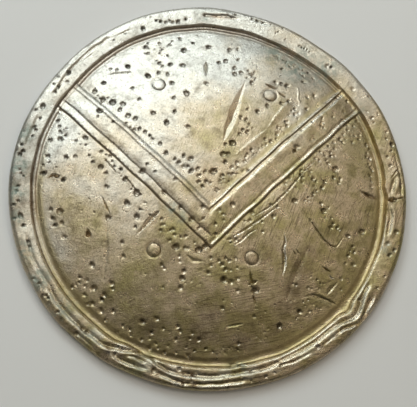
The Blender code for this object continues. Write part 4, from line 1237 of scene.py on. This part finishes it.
def blend(tree, share, first, second, kind="RGBA"):
    node = put(tree, "ShaderNodeMix", {"data_type": kind})
    slots = {"RGBA": (0, 6, 7, 2), "FLOAT": (0, 2, 3, 0)}[kind]
    for index, value in zip(slots[:3], (share, first, second)):
        feed(tree, node.inputs[index], value)
    return node.outputs[slots[3]]


def mark(tree, name):
    return put(tree, "ShaderNodeAttribute", {"attribute_name": name}).outputs["Fac"]


def brushed(tree, where, angle, length, width):
    # Noise drawn out along one direction, as brush and file strokes are
    stretched = put(
        tree, "ShaderNodeMapping", {"vector_type": "TEXTURE"}, Vector=where,
        Rotation=(0, 0, math.radians(angle)), Scale=(length * mm, width * mm, width * mm))
    drawnOut = put(tree, "ShaderNodeTexNoise", Vector=stretched.outputs["Vector"], Scale=1.0, Detail=2.0)
    return drawnOut.outputs["Fac"]


def makeBrass(name, v, worn):
    # Worn is true for the plate, whose shapes carry marks, and false for the small pieces
    paint = bpy.data.materials.new(name)
    paint.use_nodes = True
    tree = paint.node_tree
    shader = tree.nodes["Principled BSDF"]
    where = tree.nodes.new("ShaderNodeTexCoord").outputs["Object"]
    axes = put(tree, "ShaderNodeSeparateXYZ", Vector=where)
    clouds = noise(tree, where, 22, 4)
    patches = noise(tree, where, 9, 4, 0.6)
    spots = noise(tree, where, 4.5, 5, 0.65)
    grain = noise(tree, where, 0.9, 5, 0.75)
    dust = noise(tree, where, 0.45, 2, 0.6)
    # Painted sheen and shade: paler towards the top left, warmer and darker towards the bottom right
    toRight = span(tree, axes.outputs["X"], -0.08, 0.08, -0.14, 0.86)
    toTop = span(tree, axes.outputs["Y"], -0.08, 0.08, -1.0, 0.6)
    sheenAndWarmth = calc(tree, "SUBTRACT", toRight, toTop)
    sheenAndWarmth = calc(tree, "ADD", sheenAndWarmth, span(tree, clouds, 0.35, 0.65, -0.25, 0.25))
    # Brush strokes: steep ones, level ones towards the bottom, and a few across them
    swung = span(tree, clouds, 0.45, 0.55)
    steep = blend(tree, swung, brushed(tree, where, 48, 7, 0.30), brushed(tree, where, 68, 6, 0.28), "FLOAT")
    towardsBottom = span(tree, axes.outputs["Y"], -0.045, -0.015, 1, 0)
    lines = blend(tree, towardsBottom, steep, brushed(tree, where, 12, 8, 0.30), "FLOAT")
    scratches = blend(tree, 0.3, lines, brushed(tree, where, -38, 4, 0.22), "FLOAT")
    color = v["sheenPale"]

    def coat(share, tone):
        nonlocal color
        color = blend(tree, share, color, v[tone])

    coat(span(tree, sheenAndWarmth, 0.0, 0.55), "tan")
    mottled = span(tree, patches, 0.40, 0.60, 0.1, 1.0)
    coat(calc(tree, "MULTIPLY", span(tree, sheenAndWarmth, 0.3, 0.75), mottled), "olive")
    coat(span(tree, spots, 0.53, 0.76, 0, 0.55), "tarnish")
    warmLines = span(tree, sheenAndWarmth, 0.2, 1.0, 0.15, 0.9)
    coat(calc(tree, "MULTIPLY", span(tree, lines, 0.5, 0.68), warmLines), "tarnish")
    coat(span(tree, grain, 0.48, 0.72, 0, 0.45), "tarnish")
    coat(span(tree, dust, 0.52, 0.72, 0, 0.35), "tarnish")
    rough = blend(tree, span(tree, spots, 0.35, 0.65), v["gloss"][0], v["gloss"][1], "FLOAT")
    if worn:
        cut, bareAndHighlight = mark(tree, "cutDepth"), mark(tree, "bareAndHighlight")
        coat(span(tree, mark(tree, "yellow"), 0.1, 0.9, 0, 0.85), "yellow")
        coat(span(tree, mark(tree, "copper"), 0.1, 0.9, 0, 0.8), "copper")
        # Stains, with the painted shade along the field's lower edge, darkened to tarnish
        blotches = span(tree, noise(tree, where, 3.0, 5, 0.7), 0.36, 0.6, 0.3, 0.9)
        coat(calc(tree, "MULTIPLY", mark(tree, "stainAndShade"), blotches), "tarnish")
        # Painted shade lines along the channel's walls and in the band's grooves
        coat(span(tree, mark(tree, "shadeLine"), 0.1, 0.9, 0, 0.9), "shadeLine")
        coat(span(tree, cut, 0.7, 1.2, 0, 0.5), "tarnish")
        # Painted highlights, partly bare metal
        coat(span(tree, bareAndHighlight, 0.2, 0.8, 0, 0.8), "bareAndHighlight")
        # Painted shade and dirt in the pits
        coat(span(tree, mark(tree, "shadeAndDirtInPits"), 0.1, 0.8, 0, 0.88), "pitDirtAndShade")
        crust = span(tree, noise(tree, where, 2.4, 5, 0.7), 0.42, 0.58)
        patina = calc(tree, "MULTIPLY", mark(tree, "patina"), crust)
        coat(patina, "verdigris")
        rough = blend(tree, calc(tree, "MAXIMUM", cut, bareAndHighlight), rough, 0.22, "FLOAT")
        rough = blend(tree, patina, rough, 0.6, "FLOAT")
        tree.links.new(span(tree, patina, 0, 1, 1.0, 0.6), shader.inputs["Metallic"])
    else:
        shader.inputs["Metallic"].default_value = 1.0
    tree.links.new(color, shader.inputs["Base Color"])
    tree.links.new(rough, shader.inputs["Roughness"])
    normal = None
    for height, depth in (
            (spots, "dentDepth"), (grain, "grainDepth"), (dust, "dustDepth"), (scratches, "scratchDepth")):
        bump = put(tree, "ShaderNodeBump", Height=height, Distance=v[depth], Strength=1.0)
        if normal:
            tree.links.new(normal, bump.inputs["Normal"])
        normal = bump.outputs["Normal"]
    tree.links.new(normal, shader.inputs["Normal"])
    return paint


plate = makePlate()
plate.data.materials.clear()
plate.data.materials.append(makeBrass("worn cast brass", brassValues, True))
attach(plate, "root")
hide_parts("shield_plate")


# The four rivets: a turned form for each, from the same profile; each head follows the tilt of the dome about
# it

rivetValues = {
    # how far each head stands over the dome
    "proud": {
        "rivet_upper_left": 0.22, "rivet_upper_right": 0.3,
        "rivet_lower_left": 0.28, "rivet_lower_right": 0.25},
    "head": [  # (radius, height)
        (2.3, -1.2), (2.6, -1.1), (2.6, -0.8), (2.53, -0.6), (2.36, -0.43), (2.1, -0.27), (1.8, -0.14),
        (1.4, -0.05), (0.9, 0)],
    "shankRadius": 1.5,
    "tailRadius": 2.4,
    "tail": [(0.8, 0), (1, 0.15), (1, 0.62), (0.93, 0.7)],  # (share of its radius, height)
    "neck": 1.22,           # the shank ends this far under the top
    "gloss": (0.26, 0.4),
}


def makeRivets(v):
    looks = makeBrass("rivet brass", {**brassValues, "gloss": v["gloss"]}, False)
    tilt = -2 * plateValues["domeRise"] / plateValues["fieldRadius"] ** 2
    for node, (x, y, surface, _) in rivetPlaces().items():
        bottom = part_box(node)[0].z / mm
        top = surface + v["proud"][node]
        profile = [(v["tailRadius"] * share, bottom + height) for share, height in v["tail"]]
        profile += [(v["shankRadius"], profile[-1][1]), (v["shankRadius"], top - v["neck"])]
        profile += [(radius, top + height) for radius, height in v["head"]]
        rivet = turnedSolid(node + "_look", profile, 48)
        points = readPoints(rivet) / mm
        share = ease(points[:, 2], top - 0.9, top - 0.3)
        points[:, 2] += share * tilt * (x * points[:, 0] + y * points[:, 1])
        points[:, :2] += (x, y)
        writePoints(rivet, points * mm)
        smooth(rivet, 40)
        rivet.data.materials.append(looks)
        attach(rivet, "root")
        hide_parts(node)
    print("rivets placed")


makeRivets(rivetValues)


# The two strap handles in the hollow: a bent strip with round ends and a hole for each rivet

strapValues = {
    "width": 7.0,
    "thickness": 0.9,
    "lift": 0.5,            # between the bow and the ground
    "foot": 4.5,            # from the rivet to the bend
    "ramp": 6.0,
    "hole": 1.8,
    "edge": 0.18,           # width of the worn edges
    "gloss": (0.38, 0.55),
}


def bentStrip(name, length, footHeight, v):
    # A strip along X, high at both feet and low between them, longer than its ends need
    bowHeight = v["lift"] + v["thickness"] / 2
    bpy.ops.object.select_all(action="DESELECT")
    bpy.ops.mesh.primitive_grid_add(x_subdivisions=120, y_subdivisions=8, size=1)
    strip = bpy.context.object
    strip.name = name
    points = readPoints(strip)
    x = points[:, 0] * (length + v["width"] + 2)
    drop = ease(length / 2 - v["foot"] - np.abs(x), 0, v["ramp"])
    z = footHeight + (bowHeight - footHeight) * drop
    writePoints(strip, np.stack([x, points[:, 1] * v["width"], z], 1) * mm)
    solid = strip.modifiers.new("thickness", "SOLIDIFY")
    solid.thickness = v["thickness"] * mm
    solid.offset = 0
    edge = strip.modifiers.new("edge", "BEVEL")
    edge.width = v["edge"] * mm
    edge.segments = 3
    edge.limit_method = "ANGLE"
    edge.angle_limit = math.radians(50)
    applyModifiers(strip)
    return strip


def roundPlan(length, v):
    # The strap's outline from above, round at both ends, as a tall solid to cut the strip with
    bpy.ops.mesh.primitive_circle_add(
        vertices=96, radius=v["width"] / 2 * mm, fill_type="NGON", location=(0, 0, -5 * mm))
    plan = bpy.context.object
    bpy.ops.object.transform_apply(location=True)
    outline = readPoints(plan)
    outline[:, 0] += np.sign(outline[:, 0] - 1e-7) * length / 2 * mm
    writePoints(plan, outline)
    editAll(plan, lambda: bpy.ops.mesh.extrude_region_move(TRANSFORM_OT_translate={"value": (0, 0, 20 * mm)}),
            normalsOut)
    return plan


def makeStrap(node, ends, looks, v):
    (x0, y0, _, level), (x1, y1, _, _) = ends
    length = math.hypot(x1 - x0, y1 - y0)
    footHeight = level - plateValues["padGap"] - v["thickness"] / 2
    strap = bentStrip(node + "_look", length, footHeight, v)
    cutWith(strap, roundPlan(length, v), "INTERSECT", "EXACT")
    for side in (-1, 1):
        hole = turnedSolid("hole tool", [(v["hole"], -2), (v["hole"], 20)], 40)
        hole.location = (side * length / 2 * mm, 0, 0)
        cutWith(strap, hole, "DIFFERENCE", "EXACT")
    points = readPoints(strap) / mm
    points[:, 2] += 0.05 * waves(points[:, 0], points[:, 1], 5, 71)
    turn = Matrix.Rotation(math.atan2(y1 - y0, x1 - x0), 3, "Z")
    points = points @ np.array(turn).T + np.array([(x0 + x1) / 2, (y0 + y1) / 2, 0])
    writePoints(strap, points * mm)
    smooth(strap, 40)
    strap.data.materials.append(looks)
    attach(strap, "root")
    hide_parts(node)
    print("strap placed:", node)


strapLooks = makeBrass("dull strip brass", {**brassValues, "gloss": strapValues["gloss"]}, False)
ends = rivetPlaces()
makeStrap("hand_strap", (ends["rivet_upper_left"], ends["rivet_upper_right"]), strapLooks, strapValues)
makeStrap("arm_strap", (ends["rivet_lower_left"], ends["rivet_lower_right"]), strapLooks, strapValues)
